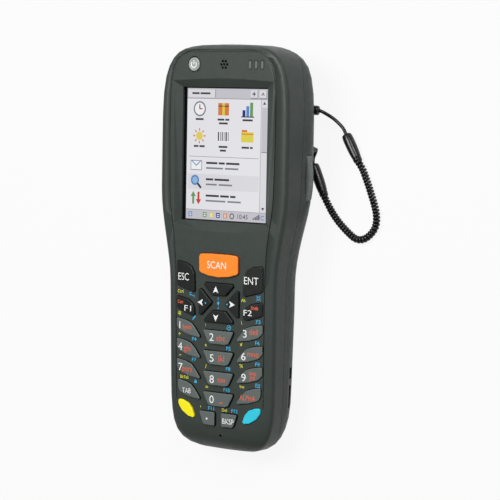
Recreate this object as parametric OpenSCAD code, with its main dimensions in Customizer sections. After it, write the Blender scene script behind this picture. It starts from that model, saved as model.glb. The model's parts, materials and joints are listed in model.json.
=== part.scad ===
// Portable barcode data terminal with a tethered stylus, in millimetres.
// The device frame has its origin on the display glass, at the middle of the screen: X to the right,
// Y up along the body and Z out of the face. laid_down() turns it onto its back, resting on the flat of
// the scanner nose and on the lower end of the grip; that flat's centre is the origin of the part.

/* [Body] */
// Width across the display head
head_w = 58; // [54:0.2:68]
// Width of the grip below the waist
grip_w = 48.8; // [46:0.2:58]
// How much narrower the grip is at its lower end
grip_taper = 0.8; // [0:0.2:4]
// Body above the display area
brow = 16.2; // [15:0.2:22]
// Body below the last row of keys
chin = 9.4; // [8.5:0.1:14]
// Depth of the head behind the display glass
head_back = 20.8; // [19:0.2:28]
// Depth of the grip behind the display glass
grip_back = 17; // [16.6:0.2:21]
// Depth of the scanner nose behind the display glass, at its middle
nose_back = 27.3; // [25.6:0.1:33]
// Height of the front face over the display glass
face_z = 3.1; // [2.4:0.1:3.6]
// Angle at which the keypad face falls away below the display
keypad_tilt = 1.2; // [0:0.1:2.6]
// Wall of the two housings
wall = 1.8; // [1.5:0.1:2.2]
// Width of the fine groove around the front panel
groove_w = 0.35; // [0.2:0.05:0.6]
// Depth of that groove
groove_d = 0.4; // [0.2:0.05:0.6]
// Gap of the seam between the two housings
seam = 0.15; // [0.05:0.05:0.3]

/* [Display] */
// Width of the active area
display_w = 36.9; // [34:0.1:39]
// Height of the active area
display_h = 49.2; // [46:0.2:54]
// Border of the window around the active area, at the sides
window_side = 1; // [0.6:0.1:1.6]
// Width of the sloping bezel at each side
bezel_side = 3.4; // [2.4:0.1:4]
// Width of the sloping bezel at top and bottom
bezel_end = 2.3; // [1.6:0.1:3]
// Height of the bezel's inner edge over the glass
bezel_edge = 1.4; // [1:0.1:2]
// Thickness of the touch panel
touch_t = 1.1; // [0.7:0.1:1.2]
// Thickness of the display module
lcd_t = 2.9; // [2:0.1:3]

/* [Keys] */
// Distance between two rows of number keys
row_pitch = 7.8; // [7.5:0.1:9]
// How far the keys stand out of the face
key_rise = 1.05; // [0.6:0.05:1.4]
// Travel of a key
key_travel = 0.7; // [0.3:0.05:0.8]
// Gap between a key and its opening
key_gap = 0.16; // [0.1:0.02:0.25]
// Lip under the housing that keeps a key in
key_lip = 0.45; // [0.3:0.05:0.5]
// Radius of the power key
power_r = 2.6; // [2:0.05:3.2]
// Length of the side keys
side_key_l = 16.8; // [10:0.2:20]
// Height of the side keys
side_key_h = 3.6; // [3:0.1:4.4]

/* [Battery] */
// Width of the battery pack
pack_w = 28; // [22:0.2:28]
// Length of the battery pack
pack_l = 50; // [40:0.5:50]
// Thickness of the battery pack
pack_t = 7.8; // [5:0.1:8]
// Thickness of the battery cover
cover_t = 1.5; // [1.2:0.1:1.6]
// Travel of the cover's latch
latch_travel = 2.5; // [1.5:0.1:3]

/* [Stylus and tether] */
// Radius of the stylus barrel
stylus_r = 2.1; // [1.6:0.05:2.2]
// Length of the stylus barrel in its silo
stylus_l = 66; // [50:1:68]
// Running gap of the stylus in its silo
stylus_gap = 0.08; // [0.03:0.01:0.1]
// Outer radius of the curly tether
coil_r = 1.45; // [1.2:0.05:1.8]
// Radius of the plain cord at both of its ends
cord_r = 0.65; // [0.4:0.05:0.8]

/* [Hidden] */

eps = 0.01;
body_colour = [0.27, 0.31, 0.29];
back_colour = [0.30, 0.34, 0.32];
dark_key = [0.14, 0.15, 0.15];
grey_key = [0.43, 0.47, 0.46];
board_colour = [0.1, 0.35, 0.2];
cord_colour = [0.07, 0.07, 0.08];

// Places along the body
fold_y = -(display_h / 2 + 10.4);
first_row = -30.4;
last_row = first_row - 4 * row_pitch + 0.3;
body_top = display_h / 2 + brow;
body_bottom = fold_y + last_row - 5.2 - chin;
waist_top = fold_y + 22;
waist_low = fold_y - 13.6;
top_curve = 37;
top_power = 4.2;
bottom_curve = 36;
bottom_power = 4.5;
key_scale = (grip_w - 9.2) / 39.6;

// The nose and the plane that the part rests on
nose_y = 22;
rest_tilt = min([for (y = [body_bottom:0.5:waist_low]) atan((nose_back + back_z(y)) / (nose_y - y))]);

// Battery bay, in the grip
cover_top = fold_y - 3.2;
cover_bottom = body_bottom + 12.55;
cover_half = pack_w / 2 + 0.7;
edge_gap = 0.2;
pack_top = fold_y - 7.5;
pack_front = -5.9;
bay_half = pack_w / 2 + 0.2;

// The stylus silo, from its mouth on the back down into the grip
silo_mouth = [head_w / 2 - 8.5, 13, -(head_back - 2.5)];
silo_foot = [grip_w / 2 - 5.6, -55, -9.6];
silo_r = stylus_r + stylus_gap + 0.8;
silo_l = norm(silo_foot - silo_mouth);

screw_spots = [[13.5, fold_y + 0.5], [-13.5, fold_y + 0.5],
    [14.4, body_bottom + 7.9], [-14.4, body_bottom + 7.9]];
screw_r = 1;

function ease(t) = let (u = min(1, max(0, t))) u * u * (3 - 2 * u);
function roll(t) = 1 - sqrt(1 - pow(min(1, max(0, t)), 2));
function corner(t, power) = pow(max(0.0005, 1 - pow(min(1, max(0, t)), power)), 1 / power);
function waist(y) = ease((y - waist_low) / (waist_top - waist_low));
function grip_half(y) = grip_w / 2 - grip_taper / 2 * min(1, max(0, (waist_low - y) / 37));

// Half the body's width, the height of its face and the depth of its back at a place along it
function half_w(y) = (grip_half(y) + (head_w / 2 - grip_w / 2) * waist(y))
    * corner((y - body_top + top_curve) / top_curve, top_power)
    * corner((body_bottom + bottom_curve - y) / bottom_curve, bottom_power);
function plane_z(y) = face_z - max(0, fold_y - y) * tan(keypad_tilt);
function face_at(y) = plane_z(y) - 4.4 * roll((y - body_top + 3) / 3)
    - 5 * roll((body_bottom + 9 - y) / 9);
function back_z(y) = -(grip_back + (head_back - grip_back) * ease((y - fold_y + 7) / 38))
    + 0.035 * max(0, waist_low - 10 - y)
    + 6.5 * roll((y - body_top + 9) / 9) + 8.5 * roll((body_bottom + 20 - y) / 20);
function parting_z(y) = -5.3 - 1.8 * ease((y - fold_y + 12) / 35) - 0.04 * max(0, y - fold_y - 23)
    - 0.16 * max(0, body_bottom + 14 - y) - 3.3 * pow(max(0, y - body_top + 16.8) / 13, 2);
function shoulder(y) = 4 + 1.25 * min(1, 2 * waist(y)) - 0.4 * ease((y - fold_y - 23) / 20);
function rear_r(y) = 9.1 - 0.5 * waist(y);

// One side of the cross-section at a place along the body, pulled in by a wall
function side_points(y, side, front, back, arc) = let (
        w = max(0.6, half_w(y) - side), zf = face_at(y) - front, zb = back_z(y) + back,
        h = zf - zb, rf = min(1.4, 0.45 * w, 0.2 * h), rb = min(rear_r(y) - side / 2, 0.9 * w, 0.42 * h))
    concat(
        [for (a = [-90:arc:0]) [w - rb + rb * cos(a), zb + rb + rb * sin(a)]],
        [for (a = [0:20:80]) [w - rf + rf * cos(a), zf - 0.8 - rf + rf * sin(a)]],
        [[w - min(shoulder(y) - 1.3 * side, 0.6 * w), zf]]);
function section(y, side, front, back, arc) = let (right = side_points(y, side, front, back, arc))
    concat([for (p = right) [p[0], y, p[1]]],
        [for (i = [len(right) - 1:-1:0]) [-right[i][0], y, right[i][1]]]);

// Where the sections lie: closer together where the outline bends
function stations(low, high, fine) = let (
        top = [for (d = fine ? [0, 0.25, 0.8, 1.7, 3, 5, 8, 12, 18, 26, 37] : [0, 2, 6, 14, 37]) high - d],
        bottom = [for (d = fine ? [36, 26, 19, 13.6, 9.4, 6, 3.5, 1.6, 0.5, 0] : [36, 14, 5, 0]) low + d],
        waist_steps = fine ? 8 : 4,
        middle = [for (i = [0:waist_steps]) waist_top + (waist_low - waist_top) * i / waist_steps])
    concat(top, middle, [waist_low - 10], bottom);
module body_form(side = 0, front = 0, back = 0, ends = 0, fine = true, list = []) {
    ys = len(list) > 0 ? list : stations(body_bottom + ends, body_top - ends, fine);
    rows = [for (y = ys) section(y, side, front, back, fine ? 15 : 30)];
    n = len(rows[0]);
    m = len(rows);
    polyhedron([for (row = rows) each row], concat(
        [for (i = [0:m - 2]) for (k = [0:n - 1]) let (a = i * n, j = (k + 1) % n)
            each [[a + j, a + k, a + n + j], [a + k, a + n + k, a + n + j]]],
        [[for (k = [0:n - 1]) k]], [[for (k = [n - 1:-1:0]) (m - 1) * n + k]]));
}
module cavity() body_form(wall, front_wall, wall, wall + 0.4, false);
front_wall = face_z - 0.4;

// Everything above a lengthwise profile, or below it
module above(profile) rotate([90, 0, 90]) translate([0, 0, -60]) linear_extrude(120)
    polygon(concat(profile, [[body_bottom - 20, 60], [body_top + 20, 60]]));
module below(profile) rotate([90, 0, 90]) translate([0, 0, -60]) linear_extrude(120)
    polygon(concat(profile, [[body_bottom - 20, -60], [body_top + 20, -60]]));
parting_steps = [body_top + 1, body_top - 2, body_top - 4.5, body_top - 7, body_top - 10, body_top - 13.5,
    body_top - 17, fold_y + 23, fold_y + 17, fold_y + 11, fold_y + 5, fold_y - 1, fold_y - 6, fold_y - 12,
    body_bottom + 14, body_bottom - 1];
function parting(up) = concat([[body_top + 20, parting_z(body_top) + up]],
    [for (y = parting_steps) [y, parting_z(y) + up]], [[body_bottom - 20, parting_z(body_bottom) + up]]);
function face_line(down) = [[body_top + 20, face_z - down], [fold_y, face_z - down],
    [body_bottom - 20, plane_z(body_bottom - 20) - down]];

// Places on the keypad face: its own X and Y, and Z out of it
module on_keypad() translate([0, fold_y, face_z]) rotate([keypad_tilt, 0, 0]) children();
module rounded(r) hull() offset(r = r, $fn = 20) offset(delta = -r) children();
module both() {
    children();
    mirror([1, 0, 0]) children();
}

// ---------------------------------------------------------------- keys
// Outlines on the keypad face, right-hand ones; the left-hand keys mirror them.
wide = key_scale;
function wing(y, reach) = [[reach * wide, y], [15.2 * wide, y - 0.75], [12.7 * wide, y - 1.6],
    [10.9 * wide, y - 3.3], [8.2 * wide, y - 6.7], [8.6 * wide, y - 7], [13.8 * wide, y - 6.3],
    [18.1 * wide, y - 5], [reach * wide, y - 3.2]];
function middle(y) = [[-7.2 * wide, y], [7.2 * wide, y], [4.7 * wide, y - 4.7], [3.2 * wide, y - 5.2],
    [-3.2 * wide, y - 5.2], [-4.7 * wide, y - 4.7]];
wing_row = first_row + 3.6;
enter = [[19.8 * wide, -5.2], [15.2 * wide, -5.9], [12.6 * wide, -7.3], [11.3 * wide, -9.8],
    [11.1 * wide, -16.6], [12.2 * wide, -16.8], [18.6 * wide, -15.2], [19.8 * wide, -14.4]];
function_key = [[19.8 * wide, -18.5], [14.4 * wide, -19.6], [12.2 * wide, -21], [11.3 * wide, -22.8],
    [11.1 * wide, -25.5], [13 * wide, -25.6], [19 * wide, -23.9], [19.8 * wide, -23.2]];
shift_key = [[19.1 * wide, last_row + 3.4], [16.6 * wide, last_row + 3.2], [13.8 * wide, last_row + 2.1],
    [12.2 * wide, last_row + 0.3], [10.7 * wide, last_row - 3.3], [14.2 * wide, last_row - 2.7],
    [17.2 * wide, last_row - 0.9], [18.9 * wide, last_row + 1.3]];
small_key = [[8.9 * wide, last_row], [1.5 * wide, last_row], [1.5 * wide, last_row - 5.2],
    [6.4 * wide, last_row - 5.1], [7.2 * wide, last_row - 4.4]];
scan_key = [[-9 * wide, -2.1], [-4.6 * wide, -1.75], [4.6 * wide, -1.75], [9 * wide, -2.1],
    [9 * wide, -8.9], [4.6 * wide, -10.1], [0, -10.5], [-4.6 * wide, -10.1], [-9 * wide, -8.9]];
arrow_y = -20.1;
side_arrow = [[9.2 * wide, arrow_y + 5], [7.9 * wide, arrow_y + 4.8], [2.9 * wide, arrow_y],
    [7.9 * wide, arrow_y - 4.8], [9.2 * wide, arrow_y - 5]];
up_arrow = [[-7.6 * wide, arrow_y + 7.4], [7.6 * wide, arrow_y + 7.4], [3.2 * wide, arrow_y + 2.9],
    [-3.2 * wide, arrow_y + 2.9]];
down_arrow = [for (p = up_arrow) [p[0], 2 * arrow_y - p[1]]];
function flip(points) = [for (p = points) [-p[0], p[1]]];

// Each key: its outline, the radius of its corners and its colour
KEYS = [
    ["key_scan", scan_key, 1.3, [0.97, 0.5, 0.12]],
    ["key_esc", flip(enter), 0.8, dark_key], ["key_ent", enter, 0.8, dark_key],
    ["key_up", up_arrow, 0.7, dark_key], ["key_left", flip(side_arrow), 0.6, dark_key],
    ["key_right", side_arrow, 0.6, dark_key], ["key_down", down_arrow, 0.7, dark_key],
    ["key_f1", flip(function_key), 0.8, dark_key], ["key_f2", function_key, 0.8, dark_key],
    for (i = [0:8]) let (row = floor(i / 3), side = i % 3,
            w = wing(wing_row - row * row_pitch, 19.9 - 0.05 * row), m = middle(first_row - row * row_pitch))
        [str("key_", i + 1), side == 0 ? flip(w) : side == 1 ? m : w, 0.5, grey_key],
    ["key_tab", flip(wing(wing_row - 3 * row_pitch, 19.2)), 0.5, grey_key],
    ["key_0", middle(first_row - 3 * row_pitch), 0.5, grey_key],
    ["key_alpha", wing(wing_row - 3 * row_pitch, 19.2), 0.5, grey_key],
    ["key_yellow", flip(shift_key), 0.8, [0.98, 0.92, 0.12]],
    ["key_dot", flip(small_key), 0.6, grey_key], ["key_bksp", small_key, 0.6, grey_key],
    ["key_blue", shift_key, 0.8, [0.2, 0.76, 0.85]]
];
keypad_wall = front_wall;
crown_r = 280;

// A key: a cap whose top follows the keypad's shallow crown, and the lip that holds it under the housing
module key_cap(key) color(key[3]) on_keypad() {
    intersection() {
        translate([0, 0, -keypad_wall - 0.7]) linear_extrude(keypad_wall + 0.7 + key_rise)
            rounded(key[2]) polygon(key[1]);
        translate([0, 0, key_rise - crown_r]) rotate([90, 0, 0]) cylinder(r = crown_r, h = 200, $fn = 720);
    }
    translate([0, 0, -keypad_wall - 0.7]) linear_extrude(0.6)
        offset(delta = key_lip) rounded(key[2]) polygon(key[1]);
}
module key_openings(gap) for (key = KEYS) offset(delta = gap) rounded(key[2]) polygon(key[1]);

// ---------------------------------------------------------------- front housing
module panel_outline(inset) {
    top = body_top - 2.1 - inset;
    reach = head_w / 2 - 4.85 - inset;
    side = [for (i = [0:7]) let (y = waist_low + 0.9 + (waist_top - waist_low - 2.3) * i / 7)
        [half_w(y) - shoulder(y) - inset, y]];
    crown = [for (d = [30, 22, 15, 10, 6.5, 4, 2.2, 1, 0.35, 0]) [reach * corner(1 - d / 30, 5), top - d]];
    foot = [[grip_half(body_bottom + 14) - 4 - inset, body_bottom + 14]];
    right = concat(foot, side, crown);
    polygon(concat(right, flip([for (i = [len(right) - 1:-1:0]) right[i]])));
}
module panel_groove() difference() {
    translate([0, 0, -3]) linear_extrude(face_z + 5) difference() {
        panel_outline(-groove_w / 2);
        panel_outline(groove_w / 2);
        translate([-50, body_bottom + 10]) square([100, 8]);
    }
    below(face_line(groove_d));
}
module window_outline() square([display_w + 2 * window_side, display_h + 0.7], center = true);
module bezel() {
    w = display_w / 2 + window_side;
    h = display_h / 2 + 0.35;
    hull() {
        translate([0, 0, bezel_edge]) linear_extrude(eps) window_outline();
        translate([0, 0, face_z]) linear_extrude(1) polygon([
            [w + bezel_side, h + bezel_end], [w * 0.5, h + bezel_end + 0.7], [0, h + bezel_end + 0.95],
            [-w * 0.5, h + bezel_end + 0.7], [-w - bezel_side, h + bezel_end],
            [1.3 - w - bezel_side, -h - bezel_end + 0.9], [-w * 0.5, -h - bezel_end - 1],
            [0, -h - bezel_end - 1.3], [w * 0.5, -h - bezel_end - 1],
            [w + bezel_side - 1.3, -h - bezel_end + 0.9]]);
    }
    translate([0, 0, -1]) linear_extrude(face_z) window_outline();
}
power_spot = [-13.1, display_h / 2 + 8.7];
speaker_spot = [0.6, display_h / 2 + 8.7];
led_spots = [for (i = [0:2]) [12.3 + 2.72 * i, display_h / 2 + 8.7]];
hole_pitch = 1.35;
mic_spot = [0.4, last_row - 8.9];
module slot(length, r) hull() for (s = [-1, 1]) translate([0.12 * s * length, s * (length / 2 - r)])
    circle(r, $fn = 16);
module speaker_holes(r) {
    translate(speaker_spot) circle(r, $fn = 16);
    for (a = [0:60:300]) translate(speaker_spot) translate([hole_pitch * cos(a), hole_pitch * sin(a)])
        circle(r, $fn = 16);
}
module screw_posts(r, low, high) for (s = screw_spots) translate([s[0], s[1], low])
    cylinder(r = r, h = high - low, $fn = 24);
module front_housing() color(body_colour) difference() {
    union() {
        difference() {
            body_form();
            cavity();
        }
        intersection() {
            screw_posts(2.3, -10, 1);
            body_form(0.6, 0.6, 0.6, 1, false);
        }
    }
    below(parting(seam));
    bezel();
    panel_groove();
    on_keypad() translate([0, 0, -6]) linear_extrude(12) key_openings(key_gap);
    translate([0, 0, -1]) linear_extrude(6) {
        translate(power_spot) circle(power_r + 0.4, $fn = 48);
        speaker_holes(0.5);
        for (s = led_spots) translate(s) slot(3.2, 0.55);
    }
    on_keypad() translate([mic_spot[0], mic_spot[1], -5]) cylinder(r = 0.6, h = 8, $fn = 16);
    screw_posts(screw_r + 0.04, -12, -2.5);
}

// ---------------------------------------------------------------- rear housing
module at_nose() translate([0, nose_y, -nose_back]) rotate([-rest_tilt, 0, 0]) children();
module rest_slab(w, l, r, up) at_nose() translate([0, 0, up]) linear_extrude(eps) rounded(r)
    square([w, l], center = true);
module nose(inset) {
    lift = inset > 0 ? inset : 0;
    hull() {
        rest_slab(25 - 2 * inset, 27 - 2 * inset, 4, lift);
        rest_slab(31 - 2 * inset, 32 - 2 * inset, 6, 2.2 + lift);
    }
    hull() {
        rest_slab(31 - 2 * inset, 32 - 2 * inset, 6, 2.2 + lift);
        translate([0, 21, 6 - head_back]) linear_extrude(eps) rounded(6)
            square([34 - 2 * inset, 33.8 - 2 * inset], center = true);
    }
}
module along_silo() translate(silo_mouth) multmatrix(frame_to(silo_foot - silo_mouth)) children();
// A turn that lays +Z along a direction
function frame_to(v) = let (z = v / norm(v), x = cross([0, 1, 0], z) / norm(cross([0, 1, 0], z)),
        y = cross(z, x))
    [[x[0], y[0], z[0], 0], [x[1], y[1], z[1], 0], [x[2], y[2], z[2], 0], [0, 0, 0, 1]];
bay_low = pack_top - pack_l - 0.3;
bay_high = pack_top + 0.2;
module battery_bay() intersection() {
    body_form(cover_t + 0.2, cover_t, cover_t + 0.2, 2, false);
    translate([0, 0, pack_front - 12]) difference() {
        translate([-bay_half - 1, bay_low - 1, 0])
            cube([2 * bay_half + 2, bay_high - bay_low + 2, 12.9]);
        translate([-bay_half, bay_low, -1]) cube([2 * bay_half, bay_high - bay_low, 13.1]);
        translate([2.2 - bay_half, bay_low + 2.2, -1])
            cube([2 * bay_half - 4.4, bay_high - bay_low - 4.4, 20]);
        for (x = contact_xs) translate([x, bay_high + 2, contact_z - pack_front + 12]) rotate([90, 0, 0])
            cylinder(r = 0.8, h = 3, $fn = 16);
    }
}
module cover_prism(gap) translate([0, 0, -40]) linear_extrude(36) rounded(1.2)
    translate([-cover_half + gap, cover_bottom + gap])
    square([2 * (cover_half - gap), cover_top - cover_bottom - 2 * gap]);
latch_y = cover_top + 0.8;
latch_l = 8;
latch_half = 5.8;
latch_slope = atan((back_z(latch_y) - back_z(latch_y + 10)) / 10);
module latch_prism(gap, more) translate([-latch_half - gap, latch_y - gap, -40])
    cube([2 * (latch_half + gap), latch_l + more + 2 * gap, 36]);
// The way out for the stylus's tail and for the bead beside it
module stylus_trough() hull() for (s = [[0, stylus_r + 0.6], [4.7, 2.2]]) along_silo()
    rotate([0, 0, tail_turn]) translate([s[0], 0, -44]) cylinder(r = s[1], h = 44.7, $fn = 32);
module tether_lug() translate([loop_eye[0], loop_eye[1], loop_eye[2] + 0.02])
    cylinder(r = 1.3, h = 5, $fn = 24);
strap_y = fold_y - 6.1 * row_pitch;
// The two openings of the hand-strap bar, and the way behind it
module strap_way() {
    x = grip_half(strap_y - 8) - 3.4;
    translate([x, strap_y, -11.3]) cube([10, 4.2, 2]);
    hull() {
        translate([x, strap_y - 2.4, -11]) cube([10, eps, 1.7]);
        translate([x, strap_y - 11, -10.3]) cube([10, eps, 0.9]);
    }
    translate([x, strap_y - 4, -11.2]) cube([1.9, 6, 1.8]);
}
dock_z = -9.2;
side_key_y = -7.9;
side_key_z = -12.3;
module side_key_outline(gap) offset(r = 0.9 + gap, $fn = 24)
    square([side_key_l - 1.8, side_key_h - 1.8], center = true);
module at_side_key() translate([head_w / 2, side_key_y, side_key_z]) rotate([90, 0, 90]) children();
module rear_housing() color(back_colour) difference() {
    union() {
        difference() {
            union() {
                body_form();
                nose(0);
            }
            difference() {
                cavity();
                both() translate([grip_half(strap_y - 8) - 4.6, strap_y - 13, -13.4]) cube([10, 19, 5.6]);
            }
            intersection() {
                nose(1.7);
                translate([-30, -60, -60]) cube([60, 110, 60]);
            }
        }
        battery_bay();
        tether_lug();
        intersection() {
            screw_posts(2.3, -24, parting_z(fold_y));
            body_form(0.6, 0.6, 0.6, 1, false);
        }
    }
    above(parting(0));
    cover_prism(0);
    latch_prism(0.2, latch_travel + 0.3);
    both() strap_way();
    both() at_side_key() translate([0, 0, -5]) linear_extrude(10) side_key_outline(key_gap);
    along_silo() cylinder(r = silo_r + 0.03, h = silo_l + 1, $fn = 32);
    stylus_trough();
    at_nose() translate([-window_half - 0.1, window_y - 2, window_low - 0.1])
        cube([2 * window_half + 0.2, 30, window_h + 0.2]);
    screw_posts(screw_r + 0.15, -24, 0);
    for (s = screw_spots) translate([s[0], s[1], back_z(s[1]) - 1]) cylinder(r = 2.1, h = 3, $fn = 24);
    translate([-8, body_bottom - 1, dock_z - 1.2]) cube([16, 7.4, 2.4]);
}

// ---------------------------------------------------------------- battery and its cover
cover_pivot = [0, cover_bottom, back_z(cover_bottom)];
// A plate that follows the back, between two depths inside it; the back is flat across the body there
module back_plate(low, high, half, out, in, step = 2) rotate([90, 0, 90]) translate([0, 0, -half])
    linear_extrude(2 * half) polygon(concat(
        [for (y = [low:step:high + eps]) [y, back_z(y) + out]],
        [for (y = [high:-step:low - eps]) [y, back_z(y) + in]]));
module battery_cover() color(back_colour) {
    difference() {
        intersection() {
            back_plate(cover_bottom - 1, cover_bottom + 62, cover_half, 0, cover_t, 3);
            cover_prism(edge_gap);
        }
        for (i = [0:2]) translate([-5, cover_top - 9 - 2.2 * i, back_z(cover_top - 9) - 0.9])
            cube([10, 0.9, 1.2]);
    }
    hook_z = cover_pivot[2] + wall + 0.8;
    for (x = [-10, 6]) {
        translate([x, cover_bottom + 0.3, cover_pivot[2] + 1]) cube([4, 1.2, hook_z - cover_pivot[2]]);
        translate([x, cover_bottom - 1.3, hook_z]) cube([4, 2.8, 1]);
    }
}
module battery_latch() color(dark_key) {
    difference() {
        back_plate(latch_y, latch_y + latch_l, latch_half, 0.2, wall + 0.9);
        for (i = [0:3]) translate([-4, latch_y + 1.4 + 1.6 * i, back_z(latch_y + 1.4 + 1.6 * i) - 0.6])
            cube([8, 0.7, 1.2]);
    }
    back_plate(latch_y, latch_y + latch_l + 4, latch_half + 1.2, wall + 0.25, wall + 0.9);
}
module battery_pack() color([0.2, 0.21, 0.24]) translate([-pack_w / 2, pack_top - pack_l, pack_front - pack_t])
    cube([pack_w, pack_l, pack_t]);
contact_xs = [-6, -2, 2, 6];
contact_z = -9.2;
module battery_contacts() {
    color([0.1, 0.1, 0.11]) translate([-8, bay_high + 1.1, contact_z - 2.4]) cube([16, 2.8, 5]);
    color([0.85, 0.66, 0.3]) for (x = contact_xs) translate([x, bay_high + 1.1, contact_z])
        rotate([90, 0, 0]) cylinder(r = 0.5, h = 1.2, $fn = 24);
}
module dock_contacts() {
    color([0.12, 0.12, 0.13]) translate([-7.6, body_bottom + 3, dock_z - 1]) cube([15.2, 2.6, 2]);
    color([0.85, 0.66, 0.3]) for (i = [-3:3]) translate([i * 2, body_bottom + 3, dock_z])
        rotate([90, 0, 0]) cylinder(r = 0.5, h = 0.5, $fn = 24);
}

// ---------------------------------------------------------------- display, boards and modules
module plate(w, low, high, bottom, t) translate([-w / 2, low, bottom]) cube([w, high - low, t]);
glass_w = display_w + 5.4;
module touch_panel() color([0.75, 0.78, 0.8])
    plate(glass_w, -display_h / 2 - 2.4, display_h / 2 + 2.4, -touch_t, touch_t);
module display_gasket() color([0.1, 0.1, 0.1]) difference() {
    plate(glass_w, -display_h / 2 - 2.4, display_h / 2 + 2.4, 0, 0.4);
    translate([0, 0, -1]) linear_extrude(3) offset(delta = 0.3) window_outline();
}
module lcd_module() color([0.55, 0.58, 0.6]) {
    plate(glass_w, -display_h / 2 - 5.6, display_h / 2 + 3.4, -touch_t - 0.1 - lcd_t, lcd_t);
}
board_z = -touch_t - lcd_t - 0.7;
module main_board() color(board_colour) {
    plate(head_w - 10, fold_y + 3.6, body_top - 9.6, board_z - 1, 1);
    for (s = [[-14, -4, 9], [3, -6, 12], [-10, 14, 7]])
        translate([s[0], s[1], board_z - 2.2]) cube([s[2], s[2], 1.3]);
}
module radio_module() color([0.7, 0.72, 0.74]) translate([-16, -22, board_z - 3.4]) cube([18, 12, 2.4]);
module backup_cell() color([0.75, 0.75, 0.77]) translate([8, 22, board_z - 3.2])
    cylinder(r = 5, h = 2.2, $fn = 48);
module mat_outline() {
    half = [[10.2 * wide, -0.4], [10.2 * wide, -3.6], [21.1 * wide, -3.6],
        [21.05 * wide, first_row - row_pitch], [20.8 * wide, first_row - 2 * row_pitch],
        [20.5 * wide, first_row - 3 * row_pitch], [20.2 * wide, last_row + 1.2],
        [18.8 * wide, last_row - 2.2], [14.2 * wide, last_row - 4.15], [10.6 * wide, last_row - 6.3]];
    polygon(concat(flip([for (i = [len(half) - 1:-1:0]) half[i]]), half));
}
mat_t = 1.6;
mat_top = -keypad_wall - 0.8;
module keypad_mat() color([0.2, 0.22, 0.22]) on_keypad() difference() {
    translate([0, 0, mat_top - mat_t]) linear_extrude(mat_t) mat_outline();
    translate([0, 0, mat_top - key_travel - 0.1]) linear_extrude(2) key_openings(key_lip + 0.2);
}
module keypad_board() color(board_colour) on_keypad()
    translate([0, 0, mat_top - mat_t - 0.8]) linear_extrude(0.8) mat_outline();
module speaker() color([0.15, 0.15, 0.16]) translate([speaker_spot[0], speaker_spot[1], -3.2]) {
    cylinder(r = 4.4, h = 2.4, $fn = 48);
    cylinder(r = 3.6, h = 3.5, $fn = 48);
}
module microphone() color([0.7, 0.7, 0.72]) on_keypad()
    translate([mic_spot[0], mic_spot[1] + 0.6, -keypad_wall - 2.1]) cylinder(r = 1.3, h = 1.2, $fn = 32);
module led_light_pipe() color([0.85, 0.88, 0.86]) {
    for (s = led_spots) translate([s[0], s[1], 0]) linear_extrude(face_z - 0.25) slot(3.06, 0.48);
    translate([led_spots[0][0] - 1.4, led_spots[0][1] - 1.6, -0.6]) cube([8.2, 3.2, 0.9]);
}
window_half = 11.3;
window_y = 13.2;
window_low = 1.9;
window_h = 8;
module scan_engine() at_nose() {
    color([0.2, 0.2, 0.22]) difference() {
        translate([-10.5, window_y - 15.2, 2.6]) cube([21, 13, 9.6]);
        for (x = [-6.5, 1.5]) translate([x, window_y - 5, 4]) cube([5, 8, 5]);
    }
    color([0.1, 0.1, 0.3]) translate([1.5, window_y - 5, 4]) cube([5, 1.5, 5]);
}
module scan_window() color([0.35, 0.05, 0.08]) at_nose()
    translate([-window_half, window_y, window_low]) cube([2 * window_half, 1.4, window_h]);
module side_switches() color([0.75, 0.75, 0.77]) both()
    translate([head_w / 2 - 5.7, side_key_y - 2, side_key_z + 1.5])
    cube([0.9, 4, board_z - 1 - side_key_z - 1.5]);
module housing_screws() color([0.35, 0.36, 0.38]) for (s = screw_spots)
    translate([s[0], s[1], back_z(s[1]) + 0.9]) {
        difference() {
            cylinder(r = 1.9, h = 1.1, $fn = 32);
            translate([0, 0, -0.4]) cylinder(r = 0.8, h = 1, $fn = 6);
        }
        cylinder(r = screw_r, h = -4.5 - back_z(s[1]), $fn = 32);
    }

// ---------------------------------------------------------------- buttons
module key_power() color([0.6, 0.63, 0.62]) translate([power_spot[0], power_spot[1], 0]) {
    intersection() {
        translate([0, 0, -0.3]) cylinder(r = power_r, h = face_z + 0.75, $fn = 48);
        translate([0, 0, face_z + 0.45 - 20]) sphere(20, $fn = 96);
    }
    translate([0, 0, -0.3]) cylinder(r = power_r + 0.9, h = 0.5, $fn = 48);
}
module side_key_body() {
    intersection() {
        at_side_key() translate([0, 0, -3.9]) linear_extrude(4.6) side_key_outline(0);
        translate([head_w / 2 + 0.7 - 40, side_key_y, side_key_z]) sphere(40, $fn = 96);
    }
    at_side_key() translate([0, 0, -4.1]) linear_extrude(0.6) side_key_outline(0.5);
}
module side_key_right() color([0.46, 0.5, 0.48]) side_key_body();
module side_key_left() color([0.46, 0.5, 0.48]) mirror([1, 0, 0]) side_key_body();

// ---------------------------------------------------------------- stylus and its silo
tail_l = 6.6;
tail_turn = -27; // of the eyelet around the stylus
eyelet_at = -4.4;
eyelet_l = stylus_r + 1.4;
bead_r = 1.35;
bead_l = 2.3;
module at_eyelet() along_silo() rotate([0, 0, tail_turn]) translate([0, 0, eyelet_at]) rotate([0, 90, 0])
    children();
module stylus() {
    along_silo() {
        color([0.1, 0.1, 0.11]) {
            translate([0, 0, -1.4]) cylinder(r = stylus_r, h = stylus_l - 3.6, $fn = 48);
            translate([0, 0, -tail_l]) cylinder(r = stylus_r + 0.35, h = tail_l - 0.6, $fn = 48);
        }
        color([0.75, 0.76, 0.75]) translate([0, 0, stylus_l - 5.1])
            cylinder(r1 = stylus_r, r2 = 0.6, h = 5, $fn = 48);
    }
    color([0.1, 0.1, 0.11]) at_eyelet() cylinder(r = 1, h = eyelet_l, $fn = 32);
}
module stylus_silo() color(dark_key) along_silo() difference() {
    cylinder(r = silo_r, h = silo_l, $fn = 48);
    translate([0, 0, -1]) cylinder(r = stylus_r + stylus_gap, h = silo_l - 0.2, $fn = 48);
}

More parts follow.
